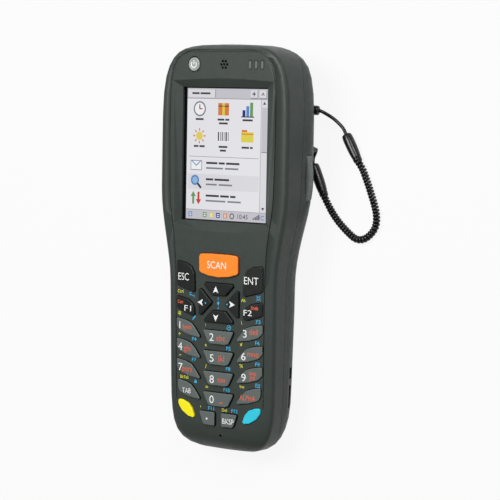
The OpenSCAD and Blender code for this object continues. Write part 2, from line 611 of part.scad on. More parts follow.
// ---------------------------------------------------------------- tether, which lies on the same surface
// The part's own frame from the device's, as a point
function laid(p) = let (y = p[1] - nose_y, z = p[2] + nose_back)
    [p[0], y * cos(rest_tilt) - z * sin(rest_tilt), y * sin(rest_tilt) + z * cos(rest_tilt)];
function turned(m, v) = [for (i = [0:2]) m[i][0] * v[0] + m[i][1] * v[1] + m[i][2] * v[2]];
silo_turn = frame_to(silo_foot - silo_mouth);
eyelet_way = turned(silo_turn, [cos(tail_turn), sin(tail_turn), 0]);
eyelet_foot = silo_mouth + turned(silo_turn, [0, 0, eyelet_at]);
lead_start = laid(eyelet_foot + (eyelet_l + bead_l) * eyelet_way);
lead_way = laid(eyelet_foot + (eyelet_l + bead_l + 1) * eyelet_way) - lead_start;
ferrule_r = 1.8;
lift = coil_r;
function spread(x) = [head_w / 2 - 29 + x[0], x[1], x[2]];
upper = [spread([37.3, -14, ferrule_r]), spread([43.5, -23.8, ferrule_r])];
lower = [spread([29.7, -37.1, ferrule_r]), spread([23.9, -25.6, ferrule_r])];
function on(pair, t) = pair[0] + t * (pair[1] - pair[0]) / norm(pair[1] - pair[0]);
LEAD = [lead_start, lead_start + 0.7 * lead_way, lead_start + 2.2 * lead_way + [0, -0.3, -0.1],
    spread([31.2, -7.9, 3.1]), spread([33.6, -9.7, 2.4]), spread([35.6, -11.6, 1.9]), on(upper, -0.7),
    upper[0]];
COIL = [on(upper, 11.6), on(upper, 12.3), for (p = [[45.3, -26.6], [46.7, -29.2], [48.1, -31.9],
    [49.4, -34.7], [50.6, -37.3], [51.6, -39.7], [52.4, -42], [52.8, -44.2], [52.8, -46.2], [52.2, -48.2],
    [50.9, -50], [49.3, -51.4], [47.6, -52.2], [45.7, -52.4], [43.9, -51.9], [42.1, -50.8], [39.8, -49.1],
    [37.6, -47.3], [35.5, -45.3], [33.7, -43.3], [32, -41.1]]) spread([p[0], p[1], lift]),
    on(lower, -0.7), lower[0]];
loop_eye = [head_w / 2 - 4.4, 2.4, -20.8];
knot_l = 1.5;
knot = [laid(loop_eye), laid(loop_eye - [0, 0, knot_l])];
LOOP = [knot[1], on(knot, knot_l + 0.9), spread([24.4, -21, 1.4]), spread([23.7, -22.9, 1.3]),
    on(lower, norm(lower[1] - lower[0]) + 0.8), lower[1]];

function rings(path, r, sides) = [for (i = [0:len(path) - 1]) let (
        a = path[max(0, i - 1)], b = path[min(len(path) - 1, i + 1)], t = (b - a) / norm(b - a),
        u = cross(t, [0, 0.05, 1]) / norm(cross(t, [0, 0.05, 1])), v = cross(u, t))
    for (k = [0:sides - 1]) path[i] + r * (cos(360 * k / sides) * u + sin(360 * k / sides) * v)];
module tube(path, r, sides = 8) {
    n = len(path);
    walls = [for (i = [0:n - 2]) for (k = [0:sides - 1]) let (j = (k + 1) % sides, a = i * sides)
        each [[a + k, a + j, a + sides + j], [a + k, a + sides + j, a + sides + k]]];
    polyhedron(rings(path, r, sides), concat(walls, [[for (k = [sides - 1:-1:0]) k]],
        [[for (k = [0:sides - 1]) (n - 1) * sides + k]]));
}
module between(pair) translate(pair[0]) multmatrix(frame_to(pair[1] - pair[0])) children();
module ferrule(pair, big, small) color(cord_colour) between(pair) difference() {
    cylinder(r1 = big, r2 = small, h = norm(pair[1] - pair[0]), $fn = 48);
    for (z = [2:1.6:8]) translate([big - 0.35, -2, z]) cube([2, 4, 0.6]);
}
module tether_bead() color(cord_colour) laid_down() at_eyelet() translate([0, 0, eyelet_l + bead_l / 2])
    intersection() {
        sphere(bead_r, $fn = 48);
        cube([4, 4, bead_l], center = true);
    }
module tether_lead() color(cord_colour) tube(LEAD, cord_r);
module ferrule_upper() ferrule(upper, ferrule_r, ferrule_r - 0.2);
module tether_coil() color(cord_colour) tube(COIL, coil_r, 10);
module ferrule_lower() ferrule(lower, ferrule_r, ferrule_r - 0.2);
module tether_loop() color(cord_colour) tube(LOOP, cord_r);
module tether_knot() color(cord_colour) between(knot) cylinder(r = 1.05, h = knot_l, $fn = 32);

// ---------------------------------------------------------------- the whole part
module laid_down() rotate([rest_tilt, 0, 0]) translate([0, -nose_y, nose_back]) children();

laid_down() front_housing();
laid_down() rear_housing();
laid_down() battery_cover();
laid_down() battery_latch();
laid_down() housing_screws();
laid_down() touch_panel();
laid_down() display_gasket();
laid_down() lcd_module();
laid_down() main_board();
laid_down() keypad_mat();
laid_down() keypad_board();
laid_down() speaker();
laid_down() microphone();
laid_down() led_light_pipe();
laid_down() scan_engine();
laid_down() scan_window();
laid_down() radio_module();
laid_down() backup_cell();
laid_down() battery_pack();
laid_down() battery_contacts();
laid_down() dock_contacts();
laid_down() side_switches();
for (key = KEYS) laid_down() key_cap(key);
laid_down() key_power();
laid_down() side_key_right();
laid_down() side_key_left();
laid_down() stylus();
laid_down() stylus_silo();
tether_bead();
tether_lead();
ferrule_upper();
tether_coil();
ferrule_lower();
tether_loop();
tether_knot();
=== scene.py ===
"""Looks of a portable barcode data terminal with a stylus on a curly tether.

Lengths are in millimetres and become metres when a mesh is finished. The device frame has its origin on the
display glass, at the middle of the screen: X to the right, Y up the body and Z out of the face. The keypad
frame starts at the fold below the display, on the face that falls away from there. The object frame is the
CAD's own.
"""

import json
import math

import bmesh
import bpy
from mathutils import Matrix, Vector

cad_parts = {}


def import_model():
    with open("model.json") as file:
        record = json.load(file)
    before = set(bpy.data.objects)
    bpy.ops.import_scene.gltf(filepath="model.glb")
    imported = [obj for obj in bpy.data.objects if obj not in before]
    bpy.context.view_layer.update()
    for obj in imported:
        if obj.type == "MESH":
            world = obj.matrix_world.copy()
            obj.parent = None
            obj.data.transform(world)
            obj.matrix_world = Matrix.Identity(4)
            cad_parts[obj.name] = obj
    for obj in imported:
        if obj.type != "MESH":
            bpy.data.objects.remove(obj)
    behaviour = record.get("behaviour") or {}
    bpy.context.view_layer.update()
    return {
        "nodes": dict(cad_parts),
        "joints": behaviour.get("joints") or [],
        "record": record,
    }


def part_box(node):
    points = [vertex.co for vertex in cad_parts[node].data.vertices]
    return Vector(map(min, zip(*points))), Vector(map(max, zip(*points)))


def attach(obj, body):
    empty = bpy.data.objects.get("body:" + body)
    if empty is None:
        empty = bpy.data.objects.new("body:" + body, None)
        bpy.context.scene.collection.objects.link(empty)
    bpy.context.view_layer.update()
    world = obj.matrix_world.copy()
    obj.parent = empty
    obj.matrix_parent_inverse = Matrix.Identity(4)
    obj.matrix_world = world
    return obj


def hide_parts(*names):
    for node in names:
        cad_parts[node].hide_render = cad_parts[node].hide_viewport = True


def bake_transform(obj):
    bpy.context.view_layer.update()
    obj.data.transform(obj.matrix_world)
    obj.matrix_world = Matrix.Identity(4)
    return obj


MM = 0.001
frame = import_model()
joints = {joint["name"]: joint for joint in frame["joints"]}
body_of_node = {
    node: body
    for body, nodes in frame["record"]["behaviour"]["bodies"].items()
    for node in nodes
}
slot_of_node = {part["node"]: part["material_slot"] for part in frame["record"]["subparts"]}

# ---- frames of the device
TOUCH_PANEL_T = 1.1
FACE_Z = 3.1
FOLD_Y = -35.0


def press_angle(name):
    """How far a key's travel leans from straight down, about X."""
    axis = joints[name]["axis"]
    return math.atan2(axis[1], -axis[2])


FACE_ANGLE = press_angle("key_power_press")
KEYPAD_ANGLE = press_angle("key_1_press") - FACE_ANGLE
glass_low, glass_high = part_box("touch_panel")
OBJECT = Matrix.Scale(MM, 4)
DEVICE = (
    Matrix.Translation((glass_low + glass_high) / 2)
    @ Matrix.Rotation(FACE_ANGLE, 4, "X")
    @ OBJECT
    @ Matrix.Translation((0, 0, TOUCH_PANEL_T / 2))
)
KEYPAD = DEVICE @ Matrix.Translation((0, FOLD_Y, FACE_Z)) @ Matrix.Rotation(KEYPAD_ANGLE, 4, "X")


def frame_along(origin, along):
    """A frame at origin whose Z runs along a direction."""
    z = Vector(along).normalized()
    x = Vector((0, 1, 0)).cross(z).normalized()
    turn = Matrix((x, z.cross(x), z)).transposed().to_4x4()
    return Matrix.Translation(origin) @ turn


# ---- camera
EYE = (436.56, 22.85, 599.09)
AHEAD = Vector((-0.57682507, -0.07817679, -0.81311822))
RIGHT = Vector((0.81467075, 0.01790018, -0.57964744))
DOWN = Vector((0.05986994, -0.9967788, 0.05336307))
SENSOR_WIDTH = 36
FOCAL_IN_PICTURE_WIDTHS = 1996.4 / 500


def make_camera():
    """The camera, from its place and the three directions of its view in the device frame."""
    turn = Matrix((RIGHT, -DOWN, -AHEAD)).transposed().to_4x4()
    data = bpy.data.cameras.new("camera")
    data.sensor_width = SENSOR_WIDTH
    data.lens = FOCAL_IN_PICTURE_WIDTHS * SENSOR_WIDTH
    data.clip_start = 0.01
    data.clip_end = 20
    camera = bpy.data.objects.new("camera", data)
    bpy.context.scene.collection.objects.link(camera)
    place = DEVICE @ Matrix.Translation(EYE) @ turn
    camera.matrix_world = Matrix.LocRotScale(place.to_translation(), place.to_quaternion(), None)
    bpy.context.scene.camera = camera


make_camera()


# ---- finishes
def paint(red, green, blue):
    """A colour as it is seen, 0 to 255, as the linear one that a shader takes."""
    def linear(part):
        part /= 255
        return part / 12.92 if part <= 0.04045 else ((part + 0.055) / 1.055) ** 2.4
    return (linear(red), linear(green), linear(blue))


def scaled(colour, by):
    return tuple(min(1, part * by) for part in colour)


MIX_FIRST, MIX_SECOND, MIX_RESULT = 6, 7, 2  # the colour sockets of a Mix node


class Finish:
    """A node material in the making. Sizes are in millimetres; a socket's spaces are underscores."""

    def __init__(self, name, **sockets):
        self.material = bpy.data.materials.new(name)
        self.material.use_nodes = True
        self.tree = self.material.node_tree
        self.shader = self.tree.nodes["Principled BSDF"]
        self.place = self.add("ShaderNodeTexCoord").outputs["Object"]
        for socket, value in sockets.items():
            self.set(socket.replace("_", " "), value)

    def add(self, kind, **values):
        node = self.tree.nodes.new(kind)
        for key, value in values.items():
            setattr(node, key, value)
        return node

    def join(self, source, target):
        self.tree.links.new(source, target)

    def set(self, socket, value):
        if isinstance(value, tuple) and len(value) == 3 and self.shader.inputs[socket].type == "RGBA":
            value = (*value, 1)
        self.shader.inputs[socket].default_value = value

    def feed(self, socket, source):
        self.join(source, self.shader.inputs[socket])

    def noise(self, size, detail, stretch=(1, 1, 1)):
        mapping = self.add("ShaderNodeMapping")
        mapping.inputs["Scale"].default_value = stretch
        self.join(self.place, mapping.inputs["Vector"])
        noise = self.add("ShaderNodeTexNoise")
        noise.inputs["Scale"].default_value = 1 / (size * MM)
        noise.inputs["Detail"].default_value = detail
        self.join(mapping.outputs[0], noise.inputs["Vector"])
        return noise.outputs["Fac"]

    def cells(self, size):
        cells = self.add("ShaderNodeTexVoronoi")
        cells.inputs["Scale"].default_value = 1 / (size * MM)
        self.join(self.place, cells.inputs["Vector"])
        return cells.outputs["Distance"]

    def between(self, source, low, high, start=0.3, end=0.7):
        """A value spread from low to high as its source goes from start to end."""
        ranged = self.add("ShaderNodeMapRange")
        for socket, value in zip(("From Min", "From Max", "To Min", "To Max"), (start, end, low, high)):
            ranged.inputs[socket].default_value = value
        self.join(source, ranged.inputs["Value"])
        return ranged.outputs["Result"]

    def blend(self, factor, first, second):
        """Two colours mixed; the factor and the colours are values or the sockets that they come from."""
        mix = self.add("ShaderNodeMix", data_type="RGBA")
        if isinstance(factor, float):
            mix.inputs["Factor"].default_value = factor
        else:
            self.join(factor, mix.inputs["Factor"])
        for socket, value in ((mix.inputs[MIX_FIRST], first), (mix.inputs[MIX_SECOND], second)):
            if isinstance(value, tuple):
                socket.default_value = (*value, 1)
            else:
                self.join(value, socket)
        return mix.outputs[MIX_RESULT]

    def drift(self, source, colour, darker, lighter):
        """A colour that goes from a darker to a lighter tone of itself with a noise."""
        return self.blend(self.between(source, 0, 1), scaled(colour, darker), scaled(colour, lighter))

    def rounded(self, radius):
        bevel = self.add("ShaderNodeBevel", samples=6)
        bevel.inputs["Radius"].default_value = radius * MM
        return bevel.outputs["Normal"]

    def edges(self, rounded_normal):
        """1 along convex or concave edges, 0 elsewhere."""
        dot = self.add("ShaderNodeVectorMath", operation="DOT_PRODUCT")
        self.join(rounded_normal, dot.inputs[0])
        self.join(self.add("ShaderNodeNewGeometry").outputs["Normal"], dot.inputs[1])
        return self.between(dot.outputs["Value"], 1, 0, start=0.86, end=0.985)

    def relief(self, height, depth, normal=None):
        bump = self.add("ShaderNodeBump")
        bump.inputs["Strength"].default_value = 1
        bump.inputs["Distance"].default_value = depth * MM
        self.join(height, bump.inputs["Height"])
        if normal is not None:
            self.join(normal, bump.inputs["Normal"])
        return bump.outputs["Normal"]


def moulded_plastic(name, colour, roughness=0.5, grain=0.02, edge=0.2, mottle=0.05, grain_size=0.3,
                    shine=0.5, edge_light=1.25):
    """Spark-grained plastic: fine texture, a slow drift of tone, edges rounded in shading, and a painted
    highlight along the edges (painted shade where edge_light is under 1).
    """
    finish = Finish(name, Specular_IOR_Level=shine)
    normal = finish.rounded(edge)
    painted_edge_mask = finish.edges(normal)
    slow = finish.drift(finish.noise(9, 3), colour, 1 - mottle, 1 + mottle)
    fine = finish.drift(finish.noise(grain_size * 1.6, 1), colour, 1 - 1.4 * mottle, 1 + 1.4 * mottle)
    both = finish.blend(0.5, slow, fine)
    # painted light along edges: lighter where edge_light is over 1, painted shade where it is under 1
    lit = finish.between(painted_edge_mask, 0, 0.45, start=0, end=1)
    finish.feed("Base Color", finish.blend(lit, both, scaled(colour, edge_light)))
    finish.feed("Roughness", finish.between(finish.noise(2.5, 3), roughness - 0.05, roughness + 0.07))
    finish.feed("Normal", finish.relief(finish.noise(grain_size, 2), grain, normal))
    return finish.material


def soft_rubber(name, colour):
    finish = Finish(name, Sheen_Weight=0.15, Sheen_Roughness=0.4)
    normal = finish.rounded(0.25)
    finish.feed("Base Color", finish.drift(finish.noise(3, 4), colour, 0.92, 1.08))
    finish.feed("Roughness", finish.between(finish.noise(0.8, 2), 0.56, 0.7))
    finish.feed("Normal", finish.relief(finish.noise(0.18, 2), 0.012, normal))
    return finish.material


def plain_metal(name, colour, roughness, brushed=(1, 1, 1)):
    finish = Finish(name, Metallic=1.0)
    normal = finish.rounded(0.08)
    streak = finish.noise(0.25, 3, brushed)
    finish.feed("Base Color", finish.drift(streak, colour, 0.85, 1.1))
    finish.feed("Roughness", finish.between(streak, roughness - 0.08, roughness + 0.12))
    finish.feed("Normal", finish.relief(streak, 0.006, normal))
    return finish.material


def circuit_board(name):
    """Green solder mask over copper tracks."""
    finish = Finish(name, Roughness=0.34)
    track = finish.between(finish.cells(1.6), 0, 1, start=0.28, end=0.34)
    green = finish.blend(track, paint(12, 92, 52), paint(8, 62, 36))
    cloudy = finish.between(finish.noise(6, 2), 0, 0.25)
    finish.feed("Base Color", finish.blend(cloudy, green, paint(30, 110, 60)))
    finish.feed("Normal", finish.relief(track, 0.03, finish.rounded(0.1)))
    return finish.material


def dark_glass(name, colour):
    finish = Finish(name, Coat_Weight=0.6, Coat_Roughness=0.03)
    smear = finish.noise(14, 4)
    finish.feed("Base Color", finish.drift(smear, colour, 0.9, 1.1))
    finish.feed("Roughness", finish.between(smear, 0.06, 0.14))
    finish.feed("Normal", finish.relief(finish.noise(5, 2), 0.004, finish.rounded(0.1)))
    return finish.material


def frosted_clear(name, colour):
    finish = Finish(name, Transmission_Weight=0.25, Coat_Weight=0.4)
    finish.feed("Base Color", finish.drift(finish.noise(0.9, 3), colour, 0.9, 1.1))
    finish.feed("Roughness", finish.between(finish.noise(0.4, 2), 0.3, 0.45))
    finish.feed("Normal", finish.relief(finish.noise(0.2, 2), 0.01, finish.rounded(0.12)))
    return finish.material


def printed_ink(name, colour):
    """Tampo print: even colour with a slightly uneven coat."""
    finish = Finish(name)
    coat = finish.noise(0.5, 3)
    finish.feed("Base Color", finish.drift(coat, colour, 0.94, 1))
    finish.feed("Roughness", finish.between(coat, 0.42, 0.55))
    finish.feed("Normal", finish.relief(coat, 0.004))
    return finish.material


def lit_pixels(name, colour):
    """A colour that the backlit display shows through the touch panel."""
    finish = Finish(name, Base_Color=scaled(colour, 0.05), Emission_Strength=0.86, Roughness=0.2)
    finish.feed("Emission Color", finish.drift(finish.noise(45, 1), colour, 0.95, 1))
    return finish.material


MOULDED_KEY = dict(roughness=0.42, grain=0.008, edge=0.25, mottle=0.03)
SHADED_SIDE_FINISH = dict(roughness=0.5, grain=0.008, edge=0.15, edge_light=1)
finishes = {"board_green": circuit_board("board_green")}
for make, slot, colour, options in (
        (moulded_plastic, "front_housing_plastic", paint(56, 63, 59),
         dict(roughness=0.42, grain=0.022, edge=0.3, shine=0.32, edge_light=1.5)),
        (moulded_plastic, "rear_housing_plastic", paint(58, 65, 61),
         dict(roughness=0.46, grain=0.03, edge=0.3, shine=0.3, edge_light=1.4)),
        (moulded_plastic, "orange_key", paint(255, 138, 32), dict(MOULDED_KEY, edge_light=0.8)),
        (moulded_plastic, "yellow_key", paint(255, 240, 20), dict(MOULDED_KEY, edge_light=0.85)),
        (moulded_plastic, "blue_key", paint(46, 204, 228), dict(MOULDED_KEY, edge_light=0.85)),
        (moulded_plastic, "dark_key", paint(30, 33, 33),
         dict(MOULDED_KEY, roughness=0.4, mottle=0.05, shine=0.3, edge_light=1.4)),
        (moulded_plastic, "grey_key", paint(96, 104, 101), dict(MOULDED_KEY, shine=0.35, edge_light=1.1)),
        (moulded_plastic, "power_key", paint(150, 156, 153),
         dict(roughness=0.34, grain=0.006, edge=0.2, mottle=0.03)),
        (soft_rubber, "side_key", paint(118, 126, 122), {}),
        (moulded_plastic, "black_plastic", paint(20, 20, 21),
         dict(roughness=0.38, grain=0.01, edge=0.15, mottle=0.08)),
        (plain_metal, "screw_steel", (0.42, 0.42, 0.43), dict(roughness=0.36)),
        (dark_glass, "display_glass", paint(16, 17, 19), {}),
        (soft_rubber, "gasket_rubber", paint(14, 14, 15), {}),
        (plain_metal, "metal_frame", (0.55, 0.56, 0.57), dict(roughness=0.34, brushed=(1, 8, 1))),
        (soft_rubber, "mat_rubber", paint(52, 56, 56), {}),
        (frosted_clear, "light_pipe", paint(104, 114, 108), {}),
        (dark_glass, "scan_glass", paint(58, 10, 18), {}),
        (moulded_plastic, "pack_plastic", paint(48, 50, 56), dict(roughness=0.5, grain=0.015)),
        (plain_metal, "contact_gold", (0.83, 0.62, 0.27), dict(roughness=0.26)),
        (moulded_plastic, "tether_cord", paint(12, 12, 13),
         dict(roughness=0.3, grain=0.006, edge=0.08, mottle=0.08, grain_size=0.4))):
    finishes[slot] = make(slot, colour, **options)
# the steep sides of the keys get darker copies of their finishes as painted shade; the yellow and blue keys
# keep their own finish
painted_shade_side = moulded_plastic("key_side_painted_shade", paint(20, 22, 22), **SHADED_SIDE_FINISH)
painted_shade_sides = {
    "orange_key": moulded_plastic("orange_key_side_painted_shade", paint(196, 84, 26), **SHADED_SIDE_FINISH),
    "yellow_key": finishes["yellow_key"],
    "blue_key": finishes["blue_key"],
    "dark_key": painted_shade_side,
    "grey_key": painted_shade_side,
}
inks = {
    "white": printed_ink("white_ink", paint(242, 244, 242)),
    "red": printed_ink("red_ink", paint(232, 98, 66)),
    "yellow": printed_ink("yellow_ink", paint(214, 214, 62)),
    "blue": printed_ink("blue_ink", paint(62, 178, 226)),
}
for node, piece in frame["nodes"].items():
    piece.data.materials.clear()
    piece.data.materials.append(finishes[slot_of_node[node]])


# ---- making pieces
JOIN_DISTANCE = 0.002
SLIVER = 0.004
FLAT_WITHIN = math.radians(0.15)
SHELL_CREASE = 28
BEZEL_CREASE = math.radians(11)
BEZEL_REACH = Vector((23.4, 29))


def new_object(bm, name, materials):
    """A smooth-shaded object in the scene with a bmesh's faces; the bmesh is freed."""
    mesh = bpy.data.meshes.new(name)
    bm.to_mesh(mesh)
    bm.free()
    for polygon in mesh.polygons:
        polygon.use_smooth = True
    for material in materials:
        mesh.materials.append(material)
    piece = bpy.data.objects.new(name, mesh)
    bpy.context.scene.collection.objects.link(piece)
    return piece


def finish_piece(bm, name, materials, body, place=OBJECT, sharp=35, even=True):
    """Turns a bmesh in some frame's millimetres into a piece with sharp creases that rides on a body."""
    bm.transform(place)
    piece = new_object(bm, name, materials)
    piece.data.set_sharp_from_angle(angle=math.radians(sharp))
    if even:
        normals = piece.modifiers.new("weighted_normals", "WEIGHTED_NORMAL")
        normals.keep_sharp = True
    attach(piece, body)
    return piece


def stand_for(piece, node):
    """The piece takes a CAD node's place; the node is hidden."""
    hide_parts(node)
    return piece


def merged_copy(node, place):
    """A CAD node's mesh with its loose triangles joined, in a frame's millimetres."""
    bm = bmesh.new()
    bm.from_mesh(frame["nodes"][node].data)
    bm.transform(place.inverted())
    bmesh.ops.remove_doubles(bm, verts=bm.verts, dist=JOIN_DISTANCE)
    bmesh.ops.dissolve_degenerate(bm, edges=bm.edges, dist=SLIVER)
    return bm


def skin(node, name, sharp=35, even=True):
    """The CAD node with joined triangles and smooth shading, standing for it."""
    bm = merged_copy(node, OBJECT)
    bmesh.ops.dissolve_limit(bm, angle_limit=FLAT_WITHIN, verts=bm.verts, edges=bm.edges)
    material = finishes[slot_of_node[node]]
    piece = finish_piece(bm, name, [material], body_of_node[node], sharp=sharp, even=even)
    return stand_for(piece, node)


def crease_bezel(piece):
    """Marks the folds of the bezel around the screen, which are shallower than the shell's crease angle."""
    to_device = DEVICE.inverted()
    bm = bmesh.new()
    bm.from_mesh(piece.data)
    for edge in bm.edges:
        ends = [to_device @ vert.co for vert in edge.verts]
        inside = all(abs(end.x) < BEZEL_REACH.x and abs(end.y) < BEZEL_REACH.y for end in ends)
        if inside and edge.calc_face_angle(0) > BEZEL_CREASE:
            edge.smooth = False
    bm.to_mesh(piece.data)
    bm.free()


def lathe(profile, steps):
    """A closed shape of revolution about Z from (radius, height) points, first and last on the axis."""
    bm = bmesh.new()
    points = [bm.verts.new((radius, 0, height)) for radius, height in profile]
    edges = [bm.edges.new(pair) for pair in zip(points, points[1:])]
    bmesh.ops.spin(bm, geom=points + edges, axis=(0, 0, 1), cent=(0, 0, 0), angle=math.tau,
                   steps=steps, use_merge=True)
    bmesh.ops.remove_doubles(bm, verts=bm.verts, dist=0.0005)
    bmesh.ops.recalc_face_normals(bm, faces=bm.faces)
    return bm


def add_mesh(bm, other, index=0):
    """Adds another bmesh's faces to bm with one material index, and frees it."""
    for face in other.faces:
        face.material_index = index
    mesh = bpy.data.meshes.new("part")
    other.to_mesh(mesh)
    other.free()
    bm.from_mesh(mesh)
    bpy.data.meshes.remove(mesh)


def bmesh_of_curve(curve):
    """The faces of a curve or a word, whose object goes again."""
    holder = bpy.data.objects.new(curve.name, curve)
    bpy.context.scene.collection.objects.link(holder)
    graph = bpy.context.evaluated_depsgraph_get()
    mesh = bpy.data.meshes.new_from_object(holder.evaluated_get(graph))
    bpy.data.objects.remove(holder)
    bm = bmesh.new()
    bm.from_mesh(mesh)
    bpy.data.meshes.remove(mesh)
    return bm


def smooth_route(points, step):
    """A smooth line through the points, as Catmull-Rom spans cut into short steps."""
    points = [Vector(point) for point in points]
    padded = [2 * points[0] - points[1], *points, 2 * points[-1] - points[-2]]
    line = []
    for a, b, c, d in zip(padded, padded[1:], padded[2:], padded[3:]):
        cuts = max(1, round((c - b).length / step))
        for i in range(cuts):
            t = i / cuts
            line.append(0.5 * (2 * b + (c - a) * t + (2 * a - 5 * b + 4 * c - d) * t ** 2
                               + (3 * b - a - 3 * c + d) * t ** 3))
    return [*line, points[-1]]


def line_length(line):
    return sum((b - a).length for a, b in zip(line, line[1:]))


# ---- tether
FERRULE_Z = 2.02
COIL_Z = 1.45
upper_lead = Vector((37.3, -14, FERRULE_Z))
upper_coil = Vector((43.5, -23.8, FERRULE_Z))
lower_coil = Vector((29.7, -37.1, FERRULE_Z))
lower_loop = Vector((23.9, -25.6, FERRULE_Z))
upper_way = (upper_coil - upper_lead).normalized()
lower_way = (lower_loop - lower_coil).normalized()
BEAD_FACE = Vector((26.182, -5.638, 6.339))
LEAD = [BEAD_FACE, (26.854, -5.66, 6.146), (28.296, -6.007, 5.633), (31.2, -7.9, 3.1), (33.6, -9.7, 2.4),
        (35.6, -11.6, 1.9), upper_lead - 0.7 * upper_way, upper_lead]
COIL = [upper_coil - 2 * upper_way, upper_coil, upper_coil + 0.7 * upper_way,
        *((x, y, COIL_Z) for x, y in (
            (45.3, -26.6), (46.7, -29.2), (48.1, -31.9), (49.4, -34.7), (50.6, -37.3), (51.6, -39.7),
            (52.4, -42), (52.8, -44.2), (52.8, -46.2), (52.2, -48.2), (50.9, -50), (49.3, -51.4),
            (47.6, -52.2), (45.7, -52.4), (43.9, -51.9), (42.1, -50.8), (39.8, -49.1), (37.6, -47.3),
            (35.5, -45.3), (33.7, -43.3), (32, -41.1))),
        lower_coil - 0.7 * lower_way, lower_coil, lower_coil + 2 * lower_way]
KNOT_TOP = Vector((24.6, -20.151, 4.51))
KNOT_FOOT = Vector((24.6, -20.001, 3.018))
LOOP = [lower_loop, (23.4, -24.886, 1.8), (23.1, -22.9, 1.3), (23.9, -21, 1.4), (24.6, -19.912, 2.122),
        KNOT_FOOT]
WIRE_R = 0.56
PLAIN_R = 0.66
COIL_OUTER_R = 1.45
COIL_PITCH = 1.24
COIL_GROWS_OVER = 1.6
POINTS_PER_TURN = 16
FERRULE_PARTS = 6
KNOT_WRAPS = 3
POINTS_PER_WRAP = 20
WRAP_WIRE_R = 0.36
WRAP_R = 0.66
BEAD_WAY = Vector((0.960802, -0.031336, -0.275458))
BEAD_DEPTH = 2.3


def helix(route):
    """The wire of a curly cord that winds about a route; it leaves and meets the route at its ends."""
    line = smooth_route(route, 0.1)
    total = line_length(line)
    turns = round(total / COIL_PITCH)
    wanted = [total * i / (turns * POINTS_PER_TURN) for i in range(turns * POINTS_PER_TURN + 1)]
    wire = []
    passed = 0.0
    at = 0
    side = Vector((0, 0, 1))
    for i, along in enumerate(wanted):
        while at < len(line) - 2 and passed + (line[at + 1] - line[at]).length < along:
            passed += (line[at + 1] - line[at]).length
            at += 1
        step = line[at + 1] - line[at]
        centre = line[at] + step * min(1, (along - passed) / step.length)
        way = step.normalized()
        side = (side - way * side.dot(way)).normalized()
        grown = min(1, along / COIL_GROWS_OVER, (total - along) / COIL_GROWS_OVER)
        reach = (COIL_OUTER_R - WIRE_R) * grown * grown * (3 - 2 * grown)
        angle = math.tau * i / POINTS_PER_TURN
        wire.append(centre + reach * (math.cos(angle) * side + math.sin(angle) * way.cross(side)))
    return wire


def cord_tube(line, radii, name):
    """A round cord along a line, each point with its own radius."""
    curve = bpy.data.curves.new(name, "CURVE")
    curve.dimensions = "3D"
    curve.bevel_depth = MM
    curve.bevel_resolution = 3
    curve.use_fill_caps = True
    spline = curve.splines.new("POLY")
    spline.points.add(len(line) - 1)
    for point, place, radius in zip(spline.points, line, radii):
        point.co = (*(place * MM), 1)
        point.radius = radius
    bm = bmesh_of_curve(curve)
    bmesh.ops.scale(bm, vec=(1 / MM,) * 3, verts=bm.verts)
    bmesh.ops.remove_doubles(bm, verts=bm.verts, dist=0.0001)
    bmesh.ops.recalc_face_normals(bm, faces=bm.faces)
    return bm


def ferrule(name, node, coil_end, plain_end):
    """A moulded strain relief: a tapered sleeve that is cut by two grooves towards the coil."""
    length = (plain_end - coil_end).length
    profile = [(0, 0), (1.4, 0), (1.6, 0.14)]
    for start in (0.7, 1.5):
        profile += [(1.66, start), (1.54, start + 0.08), (1.54, start + 0.3), (1.72, start + 0.38)]
    profile += [(1.94, 4.2), (2.02, 6.4), (2.02, length - 2.4), (1.92, length - 0.9), (1.76, length - 0.25),
                (1.4, length), (0.95, length + 0.04), (0.9, length - 0.4), (0, length - 0.4)]
    place = OBJECT @ frame_along(coil_end, plain_end - coil_end)
    piece = finish_piece(lathe(profile, 40), name, [finishes["tether_cord"]], body_of_node[node], place,
                         sharp=50)
    return stand_for(piece, node)


def knot():
    """Three wraps of the cord below the lug, as the end of the tether is tied."""
    wraps = []
    down = KNOT_FOOT - KNOT_TOP
    place = frame_along(KNOT_TOP, down)
    last = KNOT_WRAPS * POINTS_PER_WRAP
    for i in range(last + 1):
        angle = math.tau * i / POINTS_PER_WRAP
        height = WRAP_WIRE_R + (down.length - 2 * WRAP_WIRE_R) * i / last
        wraps.append(place @ Vector((WRAP_R * math.cos(angle), WRAP_R * math.sin(angle), height)))
    bm = cord_tube(wraps, [WRAP_WIRE_R] * len(wraps), "knot_wraps")
    core = lathe([(0, 0.02), (0.5, 0.02), (0.62, 0.3), (0.62, down.length - 0.3),
                  (0.5, down.length - 0.02), (0, down.length - 0.02)], 24)
    core.transform(place)
    add_mesh(bm, core)
    piece = finish_piece(bm, "knot_of_tether", [finishes["tether_cord"]], "terminal")
    return stand_for(piece, "tether_knot")


def bead():
    """The moulded bead beside the stylus that the cord is locked into."""
    profile = [(0, 0), (1.3, 0), (1.65, 0.2), (1.8, 0.6), (1.8, 2.6), (1.68, 3.1), (1.3, 3.38), (0, 3.4)]
    place = OBJECT @ frame_along(BEAD_FACE - BEAD_DEPTH * BEAD_WAY, BEAD_WAY)
    piece = finish_piece(lathe(profile, 32), "bead_of_tether", [finishes["tether_cord"]], "stylus_body",
                         place, sharp=60)
    return stand_for(piece, "tether_bead")


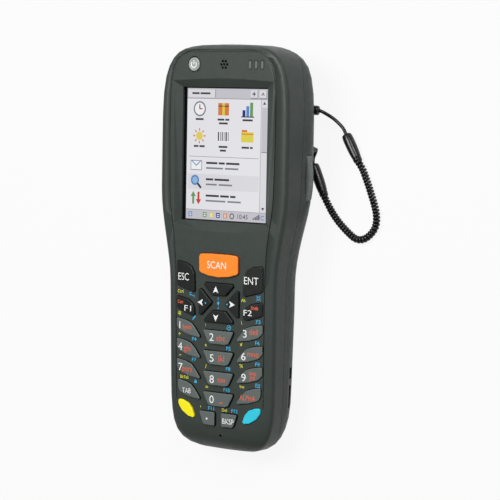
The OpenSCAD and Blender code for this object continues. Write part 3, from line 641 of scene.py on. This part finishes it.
def tether():
    """One cord from the lug on the back, through both ferrules and the coil, to the bead at the stylus."""
    shares = [i / FERRULE_PARTS for i in range(1, FERRULE_PARTS)]
    loop = smooth_route(LOOP[::-1], 0.8)
    through_lower = [lower_loop.lerp(COIL[-1], share) for share in shares]
    coil = helix(COIL[::-1])
    through_upper = [COIL[0].lerp(upper_lead, share) for share in shares]
    lead = smooth_route(LEAD[::-1], 0.9)
    line = [*loop, *through_lower, *coil, *through_upper, *lead]
    # the cord changes its thickness out of sight, two points from the coil inside each ferrule
    radii = [PLAIN_R] * (len(loop) + 3) + [WIRE_R] * (len(coil) + 4) + [PLAIN_R] * (len(lead) + 3)
    bm = cord_tube(line, radii, "tether")
    bm.transform(OBJECT)
    piece = new_object(bm, "tether", [finishes["tether_cord"]])
    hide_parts("tether_lead", "tether_coil", "tether_loop")
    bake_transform(piece)
    ends = [
        ferrule("ferrule_at_loop", "ferrule_lower", lower_coil, lower_loop),
        ferrule("ferrule_at_lead", "ferrule_upper", upper_coil, upper_lead),
        knot(),
        bead(),
    ]


tether()

# ---- housings and small CAD parts
crease_bezel(skin("front_housing", "front_shell", sharp=SHELL_CREASE, even=False))
for node, name in (
        ("rear_housing", "rear_shell"), ("battery_cover", "battery_door"),
        ("battery_latch", "battery_door_latch"), ("housing_screws", "screws"),
        ("side_key_right", "side_key_at_right"), ("side_key_left", "side_key_at_left"),
        ("scan_window", "scanner_window"),
        ("stylus_silo", "stylus_tube"), ("dock_contacts", "charging_contacts"),
        ("touch_panel", "glass"), ("display_gasket", "glass_gasket")):
    skin(node, name)


# ---- lettering
SMALL_PRINT = 1.8
SMALL_PRINT_BOLDER = 0.014
LETTER_SPREAD = 1.12


def lettering(word, height, width=None):
    """A flat word centred on the origin: height is a capital's, width the whole word's."""
    def flat(text):
        curve = bpy.data.curves.new("word", "FONT")
        curve.body = text
        curve.size = 1
        curve.offset = SMALL_PRINT_BOLDER if height < SMALL_PRINT else 0.0
        curve.resolution_u = 4
        return bmesh_of_curve(curve)

    capital = flat("H")
    tall = max(vert.co.y for vert in capital.verts) - min(vert.co.y for vert in capital.verts)
    capital.free()
    bm = flat(word)
    xs = [vert.co.x for vert in bm.verts]
    ys = [vert.co.y for vert in bm.verts]
    up = height / tall
    across = up * LETTER_SPREAD if width is None else width / (max(xs) - min(xs))
    bmesh.ops.translate(bm, vec=(-(max(xs) + min(xs)) / 2, -(max(ys) + min(ys)) / 2, 0), verts=bm.verts)
    bmesh.ops.scale(bm, vec=(across, up, 1), verts=bm.verts)
    bmesh.ops.remove_doubles(bm, verts=bm.verts, dist=0.002)
    return bm


def slab(points):
    """A flat face through the given corners."""
    bm = bmesh.new()
    bm.faces.new([bm.verts.new((x, y, 0)) for x, y in points])
    return bm


def bar(width, height):
    x, y = width / 2, height / 2
    return slab([(-x, -y), (x, -y), (x, y), (-x, y)])


def disc(radius, steps=24):
    bm = bmesh.new()
    bmesh.ops.create_circle(bm, cap_ends=True, radius=radius, segments=steps)
    return bm


def arc_band(radius, width, start=0.0, sweep=360.0, steps=32):
    """A flat ring, or part of one; degrees run anticlockwise from +X."""
    bm = bmesh.new()
    ends = [bm.verts.new((radius - width / 2, 0, 0)), bm.verts.new((radius + width / 2, 0, 0))]
    edge = bm.edges.new(ends)
    bmesh.ops.rotate(bm, verts=ends, cent=(0, 0, 0), matrix=Matrix.Rotation(math.radians(start), 3, "Z"))
    bmesh.ops.spin(bm, geom=[*ends, edge], axis=(0, 0, 1), cent=(0, 0, 0), angle=math.radians(sweep),
                   steps=steps, use_merge=sweep >= 360)
    bmesh.ops.recalc_face_normals(bm, faces=bm.faces)
    bm.faces.ensure_lookup_table()
    if bm.faces[0].normal.z < 0:
        bmesh.ops.reverse_faces(bm, faces=bm.faces)
    return bm


def moved(bm, x, y, turn=0.0):
    bm.transform(Matrix.Translation((x, y, 0)) @ Matrix.Rotation(math.radians(turn), 4, "Z"))
    return bm


def face_up(bm):
    """Turns flat faces that look down the right way round."""
    bm.normal_update()
    bmesh.ops.reverse_faces(bm, faces=[face for face in bm.faces if face.normal.z < 0])
    return bm


# ---- keys
KEY_RISE = 1.05
KEY_FOOT_Z = -0.3
KEY_EDGE = 0.34
CROWN_R = 280
CROWN_STEP = 2.5
RIM_JOIN = 0.06
PRINT_LIFT = 0.03
DIGIT = 2.8
LETTER = 2.1
STEEP = 0.55


def crown(x):
    """Height of the key tops over the keypad face."""
    return KEY_RISE - x * x / (2 * CROWN_R)


def arrowhead(turn):
    head = slab([(0, 1.35), (-1.25, -1.25), (0, -0.62), (1.25, -1.25)])
    return moved(head, 0, 0, turn)


def blue_dot():
    return disc(0.34, 16)


def space_mark():
    return bar(1.6, 0.34)


def full_stop():
    return disc(0.42, 20)


# ink, word or mark, its middle's x and y on the keypad face, a capital's height, a word's width if set
LEGENDS = {
    "key_scan": [("white", "SCAN", -0.7, -5.9, 2.6, 8.7)],
    "key_esc": [("white", "ESC", -16.4, -11.2, 2.67, 5.2)],
    "key_ent": [("white", "ENT", 14.85, -10.8, 2.67, 6.2)],
    "key_up": [("white", arrowhead(0), -1.0, -15.1)],
    "key_down": [("white", arrowhead(180), -1.0, -25.6)],
    "key_left": [("white", arrowhead(90), -8.2, -20.35), ("blue", blue_dot(), -5.8, -20.4)],
    "key_right": [("white", arrowhead(-90), 6.4, -20.15), ("blue", blue_dot(), 4.25, -20.2)],
    "key_f1": [("white", "F1", -14.3, -23.05, 2.1, 3.3), ("red", "Caps", -17.9, -20.95, 1.25, 2.7)],
    "key_f2": [("white", "F2", 13.4, -22.7, 2.1, 3.6), ("red", "Shift", 16.4, -20.75, 1.25, 3.2)],
    "key_1": [("white", "1", -18.2, -29.7, DIGIT), ("red", "Symb", -14.6, -30.4, 1.6, 4.4)],
    "key_2": [("white", "2", -2.85, -33.0, DIGIT), ("red", "abc", 1.4, -33.1, LETTER, 4.0)],
    "key_3": [("white", "3", 12.2, -30.55, DIGIT), ("red", "def", 16.1, -29.6, LETTER, 3.9)],
    "key_4": [("white", "4", -18.0, -37.8, DIGIT), ("red", "ghi", -14.55, -38.6, LETTER, 3.3)],
    "key_5": [("white", "5", -2.75, -40.9, DIGIT), ("red", "jkl", 1.55, -41.0, LETTER, 2.7)],
    "key_6": [("white", "6", 11.65, -39.05, DIGIT), ("red", "mno", 15.8, -38.2, LETTER, 5.0)],
    "key_7": [("white", "7", -17.8, -45.65, DIGIT), ("red", "pqrs", -14.5, -46.65, LETTER, 4.6)],
    "key_8": [("white", "8", -2.7, -48.85, DIGIT), ("red", "tuv", 1.8, -48.9, LETTER, 3.7)],
    "key_9": [("white", "9", 11.75, -46.9, DIGIT), ("red", "wx", 15.7, -45.3, 1.8, 3.4),
              ("red", "yz", 15.6, -47.1, 1.8, 2.6)],
    "key_tab": [("white", "TAB", -14.85, -54.4, 1.87, 4.3)],
    "key_0": [("white", "0", -2.75, -56.5, DIGIT), ("red", space_mark(), 1.65, -57.5)],
    "key_alpha": [("red", "ALPHA", 13.45, -54.4, 1.9, 6.9)],
    "key_yellow": [],
    "key_dot": [("white", full_stop(), -5.0, -64.05)],
    "key_bksp": [("white", "BKSP", 4.85, -64.15, 1.95, 5.3)],
    "key_blue": [],
}


def flush(x):
    """Height of the keypad face."""
    return 0


def add_legend(bm, index, height, what, x, y, *size):
    """Prints a word to be set, or a mark that is made already, just over a surface of the given height."""
    flat = lettering(what, *size) if isinstance(what, str) else what
    flat = face_up(moved(flat, x, y))
    for vert in flat.verts:
        vert.co.z = height(vert.co.x) + PRINT_LIFT
    add_mesh(bm, flat, index)


def once(items):
    """Each item once, as they first come: a set's order would differ from run to run."""
    return list(dict.fromkeys(items))


def key_cap(node):
    """The CAD key below the face, with a top that is rounded at its rim and follows the keypad's crown."""
    def level(faces, drop):
        for vert in once(vert for face in faces for vert in face.verts):
            vert.co.z = crown(vert.co.x) - drop

    bm = merged_copy(node, KEYPAD)
    bmesh.ops.bisect_plane(bm, geom=[*bm.verts, *bm.edges, *bm.faces], dist=0.0005,
                           plane_co=(0, 0, KEY_FOOT_Z), plane_no=(0, 0, 1), clear_outer=True)
    rim = [edge for edge in bm.edges if edge.is_boundary]
    # the outline's shortest steps are joined, so that the insets below don't cross
    bmesh.ops.remove_doubles(bm, verts=once(vert for edge in rim for vert in edge.verts), dist=RIM_JOIN)
    rim = [edge for edge in bm.edges if edge.is_boundary]
    top = bmesh.ops.holes_fill(bm, edges=rim, sides=0)["faces"]
    bm.normal_update()
    if top[0].normal.z < 0:
        bmesh.ops.reverse_faces(bm, faces=top)
    raised = bmesh.ops.extrude_face_region(bm, geom=top)["geom"]
    bmesh.ops.delete(bm, geom=top, context="FACES_ONLY")
    top = [item for item in raised if isinstance(item, bmesh.types.BMFace)]
    level(top, KEY_EDGE)
    passed = 0
    for angle in (22.5, 45, 67.5, 90):
        reach = KEY_EDGE * (1 - math.cos(math.radians(angle)))
        bmesh.ops.inset_region(bm, faces=top, thickness=reach - passed, depth=0, use_boundary=True)
        passed = reach
        level(top, KEY_EDGE * (1 - math.sin(math.radians(angle))))
    xs = [vert.co.x for vert in top[0].verts]
    cuts = max(1, round((max(xs) - min(xs)) / CROWN_STEP))
    for i in range(1, cuts):
        at = min(xs) + (max(xs) - min(xs)) * i / cuts
        geom = [*top, *once(edge for face in top for edge in face.edges),
                *once(vert for face in top for vert in face.verts)]
        cut = bmesh.ops.bisect_plane(bm, geom=geom, dist=0.001, plane_co=(at, 0, 0), plane_no=(1, 0, 0))
        top = [item for item in cut["geom"] if isinstance(item, bmesh.types.BMFace)]
    level(top, 0)
    return bm


def key(node, marks):
    """A key with its legends; its steep sides take painted shade, a darker finish of their own."""
    bm = key_cap(node)
    used = sorted({mark[0] for mark in marks})
    for ink, *mark in marks:
        add_legend(bm, 1 + used.index(ink), crown, *mark)
    slot = slot_of_node[node]
    bm.normal_update()
    for face in bm.faces:
        if face.normal.z < STEEP:
            face.material_index = len(used) + 1
    materials = [finishes[slot], *(inks[ink] for ink in used), painted_shade_sides[slot]]
    stand_for(finish_piece(bm, node + "_top", materials, body_of_node[node], KEYPAD), node)


for node, marks in LEGENDS.items():
    key(node, marks)


# ---- legends printed on the face
def joined(*parts):
    bm = bmesh.new()
    for part in parts:
        add_mesh(bm, part)
    return bm


def lamp_mark():
    """A ring with four rays."""
    rays = [bar(0.5, 0.2) for _ in range(4)]
    for i, ray in enumerate(rays):
        ray.transform(Matrix.Rotation(math.radians(45 + 90 * i), 4, "Z") @ Matrix.Translation((1.17, 0, 0)))
    return joined(arc_band(0.62, 0.26, steps=20), *rays)


def pen_mark():
    nib = slab([(-0.3, 0), (0.25, 0.25), (0.25, -0.25)])
    return joined(moved(bar(1.5, 0.5), 0.1, 0.1, 50), moved(nib, -0.62, -0.72, 50))


def round_mark():
    """A ring with a bar in it."""
    return joined(arc_band(0.85, 0.24, steps=20), bar(0.9, 0.26))


def lock_mark():
    return joined(moved(bar(1.15, 0.8), 0, -0.3), moved(arc_band(0.36, 0.2, 0, 180, 12), 0, 0.1))


def keyboard_mark():
    """A box with a line through it."""
    rows = [moved(bar(2.1, 0.24), 0, y) for y in (0, 0.6, -0.6)]
    sides = [moved(bar(0.24, 1.4), x, 0) for x in (-0.95, 0.95)]
    return joined(*rows, *sides)


def hook_mark():
    """An open ring with a tail."""
    ring = moved(arc_band(0.5, 0.24, 40, 280, 16), -0.6, 0.25)
    return joined(ring, moved(bar(1.5, 0.26), 0.6, -0.35, -12), moved(bar(0.26, 0.6), 1.0, -0.62))


def pad_mark():
    """The mark between the arrow keys."""
    return joined(moved(bar(0.28, 0.9), 0, 1.75), moved(bar(0.28, 0.9), 0, -1.75),
                  slab([(0, 0.8), (-0.55, 0), (0, -0.8), (0.55, 0)]))


FACE_LEGENDS = {
    "yellow": [
        ("Ctrl", -18.2, -16.9, 1.2, 2.7), ("Alt", 10.9, -18.3, 1.2, 2.0), ("@", -18.6, -25.2, 1.2, 1.4),
        (":", -6.4, -28.8, 1.3), ("\\", 10.1, -26.7, 1.4), ("+", -18.6, -33.1, 1.4, 1.1),
        ("*", -6.3, -36.5, 1.6, 0.9), ("#", 10.0, -34.8, 1.3, 1.1), ("-", -18.3, -41.2, 1.4, 1.1),
        ("/", -6.2, -44.4, 1.4), ("%", 10.1, -42.8, 1.3, 1.6), ("BkTab", -16.3, -49.4, 1.2, 3.9),
        ("=", -5.75, -52.2, 1.4, 1.2), ("Ins", 10.5, -50.5, 1.2, 2.0), (",", -8.6, -60.0, 1.6, 0.45),
        ("Del", 2.5, -60.2, 1.2, 2.3),
    ],
    "blue": [
        (hook_mark(), -12.8, -17.8), (lamp_mark(), 17.7, -17.1), (pen_mark(), -11.8, -26.5),
        (round_mark(), 4.35, -29.05), ("F3", 17.7, -25.8, 1.35, 2.0), ("F4", -11.7, -34.55, 1.35, 2.0),
        ("F5", 4.25, -36.9, 1.35, 2.0), ("F6", 17.4, -33.7, 1.35, 2.0), ("F7", -11.75, -42.4, 1.35, 2.0),
        ("F8", 4.1, -44.5, 1.35, 2.0), ("F9", 17.5, -41.6, 1.35, 2.0), (lock_mark(), -11.0, -50.5),
        ("F10", 3.5, -52.5, 1.35, 2.9), (keyboard_mark(), 17.6, -49.5), ("F11", -3.7, -60.1, 1.35, 2.7),
        ("F12", 7.1, -60.1, 1.35, 2.8), (pad_mark(), -0.6, -20.2),
    ],
}


def face_legends():
    """The second and third level legends beside the keys."""
    bm = bmesh.new()
    for index, marks in enumerate(FACE_LEGENDS.values()):
        for mark in marks:
            add_legend(bm, index, flush, *mark)
    piece = finish_piece(bm, "face_legends", [inks[ink] for ink in FACE_LEGENDS], "terminal", KEYPAD)


face_legends()

# ---- power key
POWER_AT = (-13.1, 33.3)
POWER_R = 2.6
POWER_TOP = FACE_Z + 0.45


def power_key():
    """A dished round button with the on and off mark."""
    flange = [(0, -0.3), (POWER_R + 0.9, -0.3), (POWER_R + 0.9, 0.2), (POWER_R, 0.2)]
    dish = [(POWER_R, 0.36), (POWER_R - 0.1, 0.2), (POWER_R - 0.34, 0.09), (POWER_R - 0.6, 0.06),
            (POWER_R - 0.8, 0.12), (1.0, 0.2), (0, 0.22)]
    bm = lathe(flange + [(radius, POWER_TOP - drop) for radius, drop in dish], 64)
    mark = joined(arc_band(1.15, 0.36, 130, 280, 40), moved(bar(0.36, 1.5), 0, 0.75))
    for vert in mark.verts:
        vert.co.z = POWER_TOP - 0.11
    add_mesh(bm, face_up(mark), 1)
    piece = finish_piece(bm, "power_button", [finishes["power_key"], inks["white"]], "key_power_body",
                         DEVICE @ Matrix.Translation((*POWER_AT, 0)))
    stand_for(piece, "key_power")


power_key()


# ---- indicator windows
LAMP_ROW = [(12.3 + 2.72 * i, 33.3) for i in range(3)]


def stadium(width, length):
    """A flat slot shape along Y."""
    bm = disc(width / 2, 32)
    for vert in bm.verts:
        vert.co.y += math.copysign((length - width) / 2, vert.co.y)
    return bm


def indicator_windows():
    """Three frosted light pipes, each in a dark rim, over the pipe's hidden block."""
    materials = [finishes["light_pipe"], finishes["gasket_rubber"]]
    bm = merged_copy("led_light_pipe", DEVICE)
    for x, y in LAMP_ROW:
        for width, length, lift, index in ((1.9, 3.66, 0.02, 1), (1.08, 2.84, 0.04, 0)):
            window = face_up(moved(stadium(width, length), x, y))
            bmesh.ops.translate(window, vec=(0, 0, FACE_Z + lift), verts=window.verts)
            add_mesh(bm, window, index)
    stand_for(finish_piece(bm, "indicator_windows", materials, "terminal", DEVICE), "led_light_pipe")


indicator_windows()

# ---- stylus
SILO_MOUTH = Vector((20.5, 13, -18.3))
SILO_FOOT = Vector((18.8, -55, -9.6))
STYLUS = DEVICE @ frame_along(SILO_MOUTH, SILO_FOOT - SILO_MOUTH)
STYLUS_R = 2.1
STYLUS_L = 66
TAIL_R = 2.42
TAIL_L = 6.6
TAIL_TURN = -27
EYELET_AT = -4.4
EYELET_L = STYLUS_R + 1.4


def stylus():
    """A barrel with a ribbed tail, an eyelet for the bead and a pale nib."""
    materials = [finishes["black_plastic"], finishes["power_key"]]
    tail = [(0, -TAIL_L), (1.5, -TAIL_L), (2.1, -TAIL_L + 0.25), (TAIL_R, -TAIL_L + 0.8), (TAIL_R, -3.0)]
    for i in range(3):
        start = -2.6 + 0.62 * i
        tail += [(TAIL_R, start), (2.22, start + 0.1), (2.22, start + 0.32), (TAIL_R, start + 0.42)]
    barrel = [(TAIL_R, -0.7), (2.3, -0.6), (STYLUS_R, -0.6), (STYLUS_R, STYLUS_L - 5.1),
              (1.9, STYLUS_L - 4.6), (0, STYLUS_L - 4.6)]
    bm = lathe(tail + barrel, 40)
    nib = lathe([(0, STYLUS_L - 4.7), (1.85, STYLUS_L - 4.7), (0.62, STYLUS_L - 0.6),
                 (0.4, STYLUS_L - 0.15), (0, STYLUS_L - 0.1)], 32)
    add_mesh(bm, nib, 1)
    eyelet = lathe([(0, 0), (1, 0), (1, EYELET_L - 0.5), (0.8, EYELET_L - 0.15), (0.6, EYELET_L),
                    (0, EYELET_L)], 24)
    eyelet.transform(Matrix.Rotation(math.radians(TAIL_TURN), 4, "Z")
                     @ Matrix.Translation((0, 0, EYELET_AT))
                     @ Matrix.Rotation(math.radians(90), 4, "Y"))
    add_mesh(bm, eyelet, 0)
    stand_for(finish_piece(bm, "stylus_barrel", materials, "stylus_body", STYLUS, sharp=40), "stylus")


stylus()

# ---- display image
DOT = 0.153  # the picture's unit, a display dot in millimetres
SCREEN_DOTS = (240, 320)
PICTURE_LIFT = 0.03
LAYER = 0.012
palette = {
    "field": paint(236, 236, 241), "bar": paint(203, 201, 208), "raised": paint(226, 225, 230),
    "shade": paint(140, 139, 147), "ink": paint(62, 62, 68), "navy": paint(36, 48, 128),
    "blue": paint(92, 142, 206), "sky": paint(150, 190, 226), "yellow": paint(230, 214, 84),
    "orange": paint(222, 128, 66), "green": paint(108, 156, 96), "red": paint(200, 66, 56),
    "grey": paint(128, 132, 140), "white": paint(248, 248, 250),
}
colour_order = list(palette)


class Picture:
    """Flat shapes stacked just over the touch panel, placed in display dots from its top left."""

    def __init__(self):
        self.bm = bmesh.new()
        self.layer = 0
        self.middle = Vector((0, 0))
        self.zoom = 1.0

    def put(self, colour, shape, u, v, turn=0.0):
        shape = face_up(shape)
        u, v = self.middle + self.zoom * (Vector((u, v)) - self.middle)
        x = (u - SCREEN_DOTS[0] / 2) * DOT
        y = (SCREEN_DOTS[1] / 2 - v) * DOT
        shape.transform(Matrix.Translation((x, y, PICTURE_LIFT + LAYER * self.layer))
                        @ Matrix.Rotation(math.radians(turn), 4, "Z")
                        @ Matrix.Scale(DOT * self.zoom, 4))
        add_mesh(self.bm, shape, colour_order.index(colour))

    def rect(self, colour, u0, v0, u1, v1):
        self.put(colour, bar(u1 - u0, v1 - v0), (u0 + u1) / 2, (v0 + v1) / 2)

    def on(self, layer):
        self.layer = layer
        return self

    def icon(self, draw, u, v, zoom):
        self.middle = Vector((u, v))
        self.zoom = zoom
        draw(self.on(3), u, v)
        self.zoom = 1.0


def text_lines(picture, u, v, lengths):
    """Lines of words too small to read, as short dark dashes."""
    for row, words in enumerate(lengths):
        at = u - (sum(words) + 3 * (len(words) - 1)) / 2
        for word in words:
            picture.rect("ink", at, v + 9 * row, at + word, v + 9 * row + 4.6)
            at += word + 3


def clock_icon(p, u, v):
    p.put("grey", disc(15), u, v)
    p.on(4).put("white", disc(12), u, v)
    p.on(5).put("navy", bar(2.4, 9), u, v - 4)
    p.put("red", bar(7, 2.4), u + 3.4, v)


def parcel_icon(p, u, v):
    p.put("orange", bar(26, 24), u, v)
    p.on(4).put("yellow", bar(6, 24), u, v)
    p.put("ink", bar(26, 2), u, v - 6)


def chart_icon(p, u, v):
    for i, (colour, tall) in enumerate((("navy", 12), ("blue", 20), ("green", 27))):
        p.put(colour, bar(7, tall), u - 9 + 9 * i, v + 13 - tall / 2)
    p.put("ink", bar(31, 2), u, v + 14)


def sun_icon(p, u, v):
    p.put("yellow", disc(8), u, v)
    for i in range(8):
        ray = bar(5, 2.6)
        ray.transform(Matrix.Rotation(math.radians(45 * i), 4, "Z") @ Matrix.Translation((12.5, 0, 0)))
        p.put("orange", ray, u, v)


def stripes_icon(p, u, v):
    p.put("white", bar(30, 22), u, v)
    at = u - 13
    for wide in (3, 1.6, 2.4, 1.6, 3.4, 1.6):
        p.on(4).put("ink", bar(wide, 18), at + wide / 2, v)
        at += wide + 2.5


def letter_icon(p, u, v):
    p.put("grey", bar(30, 21), u, v)
    p.on(4).put("white", bar(27, 18), u, v)
    p.on(5).put("blue", slab([(-13, 9), (0, -2), (13, 9), (10, 9), (0, 1), (-10, 9)]), u, v)


def lens_icon(p, u, v):
    p.put("blue", arc_band(9, 4), u - 3, v - 3)
    p.on(4).put("sky", disc(7), u - 3, v - 3)
    p.put("ink", bar(14, 5), u + 8.5, v + 8.5, -45)


def folder_icon(p, u, v):
    p.put("orange", bar(13, 6), u - 7, v - 11)
    p.on(4).put("yellow", bar(29, 20), u, v)
    p.on(5).put("orange", bar(29, 2), u, v - 6)


def swap_icon(p, u, v):
    for colour, side, turn in (("green", -7, 0), ("red", 7, 180)):
        arrow = slab([(0, 14), (-7, 3), (-2.6, 3), (-2.6, -13), (2.6, -13), (2.6, 3), (7, 3)])
        p.put(colour, arrow, u + side, v, turn)


def title_bar(p):
    p.on(1).rect("bar", 0, 0, SCREEN_DOTS[0], 24)
    p.on(2).rect("shade", 0, 24, SCREEN_DOTS[0], 25.4)
    p.rect("raised", 3, 3, 84, 22)
    p.rect("shade", 84, 3, 86, 22)
    for at in (190, 216):
        p.rect("raised", at, 3, at + 20, 21)
        p.rect("shade", at, 21, at + 20, 23)
        p.rect("shade", at + 20, 3, at + 22, 23)
    text_lines(p.on(3), 42, 10, [(22, 30)])
    p.put("ink", bar(11, 2.6), 200, 12)
    p.put("ink", bar(2.6, 11), 200, 12)
    chevron = slab([(-5, 3.5), (0, -4.5), (5, 3.5), (2.4, 3.5), (0, -0.6), (-2.4, 3.5)])
    p.put("ink", chevron, 226, 12, 180)


def icon_rows(p):
    icons = (clock_icon, parcel_icon, chart_icon, sun_icon, stripes_icon, folder_icon)
    words = ([(24,)], [(20, 12), (26,)], [(30,)], [(14, 16)], [(26,), (18,)], [(22, 8)])
    for i, (icon, lines) in enumerate(zip(icons, words)):
        u = 38 + 72 * (i % 3)
        v = 50 + 66 * (i // 3)
        p.icon(icon, u, v, 1.24)
        text_lines(p.on(3), u, v + 23, lines)
    p.on(2).rect("shade", 6, 166, 216, 167.2)


def item_list(p):
    items = ((letter_icon, (34, 18, 40)), (lens_icon, (22, 44)), (swap_icon, (40, 26, 16)))
    for row, (icon, words) in enumerate(items):
        v = 188 + 40 * row
        if row % 2:
            p.on(1).rect("raised", 4, v - 19, 218, v + 19)
        p.icon(icon, 30, v, 1.15)
        p.on(3)
        at = 60
        for word in words:
            p.rect("ink", at, v - 9, at + word, v - 4)
            at += word + 4
        second = 60 + 1.5 * words[0]
        p.rect("grey", 60, v + 4, second, v + 8)
        p.rect("grey", second + 6, v + 4, second + 46, v + 8)


def scroll_bar(p):
    wide = SCREEN_DOTS[0]
    p.on(2).rect("raised", 222, 26, wide, 296)
    p.rect("shade", 221, 26, 222, 296)
    p.on(3).rect("bar", 224, 44, wide - 1, 150)
    p.rect("shade", 224, 150, wide, 152)
    for v, turn in ((34, 0), (287, 180)):
        p.on(4).put("ink", slab([(-4.5, -3), (4.5, -3), (0, 4)]), 231, v, turn)


def status_bar(p):
    wide, tall = SCREEN_DOTS
    p.on(1).rect("bar", 0, 297, wide, tall)
    p.on(2).rect("shade", 0, 296, wide, 297)
    for u, colour in ((14, "blue"), (58, "green"), (78, "yellow"), (98, "navy"), (120, "orange")):
        p.on(3).put(colour, bar(11, 12), u, 308.5)
        p.on(4).put("white", bar(6, 2.4), u, 306.5)
        p.put("white", bar(6, 2.4), u, 311)
    p.on(3).put("ink", arc_band(6, 2.2, steps=18), 140, 308.5)
    p.put("ink", lettering("10:45", 11, 30), 172, 308.5)
    for i in range(4):
        tall_bar = 4 + 3 * i
        p.put("ink", bar(3.4, tall_bar), 204 + 5.4 * i, 314 - tall_bar / 2)
    p.put("blue", arc_band(5, 2.2, 30, 300, 16), 231, 308.5)


def screen_picture():
    """A plain launcher: a title bar, two rows of icons, a list, a scroll bar and a status bar."""
    p = Picture()
    p.rect("field", 0, 0, *SCREEN_DOTS)
    for draw in (title_bar, icon_rows, item_list, scroll_bar, status_bar):
        draw(p)
    materials = [lit_pixels(name + "_pixels", colour) for name, colour in palette.items()]
    piece = finish_piece(p.bm, "display_image", materials, "terminal", DEVICE, even=False)


screen_picture()


# ---- floor, world and lights
FLOOR_HALF = 3
FLOOR_DROP = 0.05 * MM
FLOOR_GREY = 0.62
FLOOR_GLOW = 0.9


def seen_by(tree, *rays):
    """1 for the kinds of ray that are named and 0 for all others."""
    paths = tree.nodes.new("ShaderNodeLightPath")
    seen = paths.outputs[rays[0]]
    for ray in rays[1:]:
        either = tree.nodes.new("ShaderNodeMath")
        either.operation = "MAXIMUM"
        tree.links.new(seen, either.inputs[0])
        tree.links.new(paths.outputs[ray], either.inputs[1])
        seen = either.outputs[0]
    return seen


def floor():
    """A pale floor that looks nearly white and still keeps a faint shadow."""
    bm = bmesh.new()
    bmesh.ops.create_grid(bm, x_segments=1, y_segments=1, size=FLOOR_HALF)
    bmesh.ops.translate(bm, vec=(0, 0, -FLOOR_DROP), verts=bm.verts)
    finish = Finish("pale_floor", Base_Color=(FLOOR_GREY,) * 3, Roughness=0.9)
    share = finish.add("ShaderNodeMath", operation="MULTIPLY")
    finish.join(seen_by(finish.tree, "Is Camera Ray", "Is Glossy Ray", "Is Transmission Ray"),
                share.inputs[0])
    share.inputs[1].default_value = FLOOR_GLOW
    white = finish.add("ShaderNodeEmission")
    mix = finish.add("ShaderNodeMixShader")
    finish.join(share.outputs[0], mix.inputs[0])
    finish.join(finish.shader.outputs[0], mix.inputs[1])
    finish.join(white.outputs[0], mix.inputs[2])
    finish.join(mix.outputs[0], finish.tree.nodes["Material Output"].inputs["Surface"])
    new_object(bm, "floor", [finish.material])


def world(strength):
    """Even white light, and plain white where the camera or clear plastic looks past the floor."""
    sky = bpy.data.worlds.new("studio")
    sky.use_nodes = True
    tree = sky.node_tree
    light = tree.nodes["Background"]
    light.inputs["Color"].default_value = (1, 1, 1, 1)
    light.inputs["Strength"].default_value = strength
    white = tree.nodes.new("ShaderNodeBackground")
    white.inputs["Color"].default_value = (1, 1, 1, 1)
    white.inputs["Strength"].default_value = 1
    mix = tree.nodes.new("ShaderNodeMixShader")
    tree.links.new(seen_by(tree, "Is Camera Ray", "Is Transmission Ray"), mix.inputs[0])
    tree.links.new(light.outputs[0], mix.inputs[1])
    tree.links.new(white.outputs[0], mix.inputs[2])
    tree.links.new(mix.outputs[0], tree.nodes["World Output"].inputs["Surface"])
    bpy.context.scene.world = sky


def softbox(name, place, target, size, power):
    """A square area light at a place of the device frame that looks at another."""
    data = bpy.data.lights.new(name, "AREA")
    data.size = size * MM
    data.energy = power
    lamp = bpy.data.objects.new(name, data)
    bpy.context.scene.collection.objects.link(lamp)
    start, end = DEVICE @ Vector(place), DEVICE @ Vector(target)
    lamp.matrix_world = Matrix.LocRotScale(start, (end - start).to_track_quat("-Z", "Y"), None)


floor()
world(strength=0.2)
softbox("key_light", place=(-120, 220, 620), target=(0, -10, 0), size=320, power=3.9)
softbox("rim_light", place=(420, 460, 420), target=(20, 10, -10), size=260, power=1.9)
bpy.context.scene.view_settings.view_transform = "Standard"
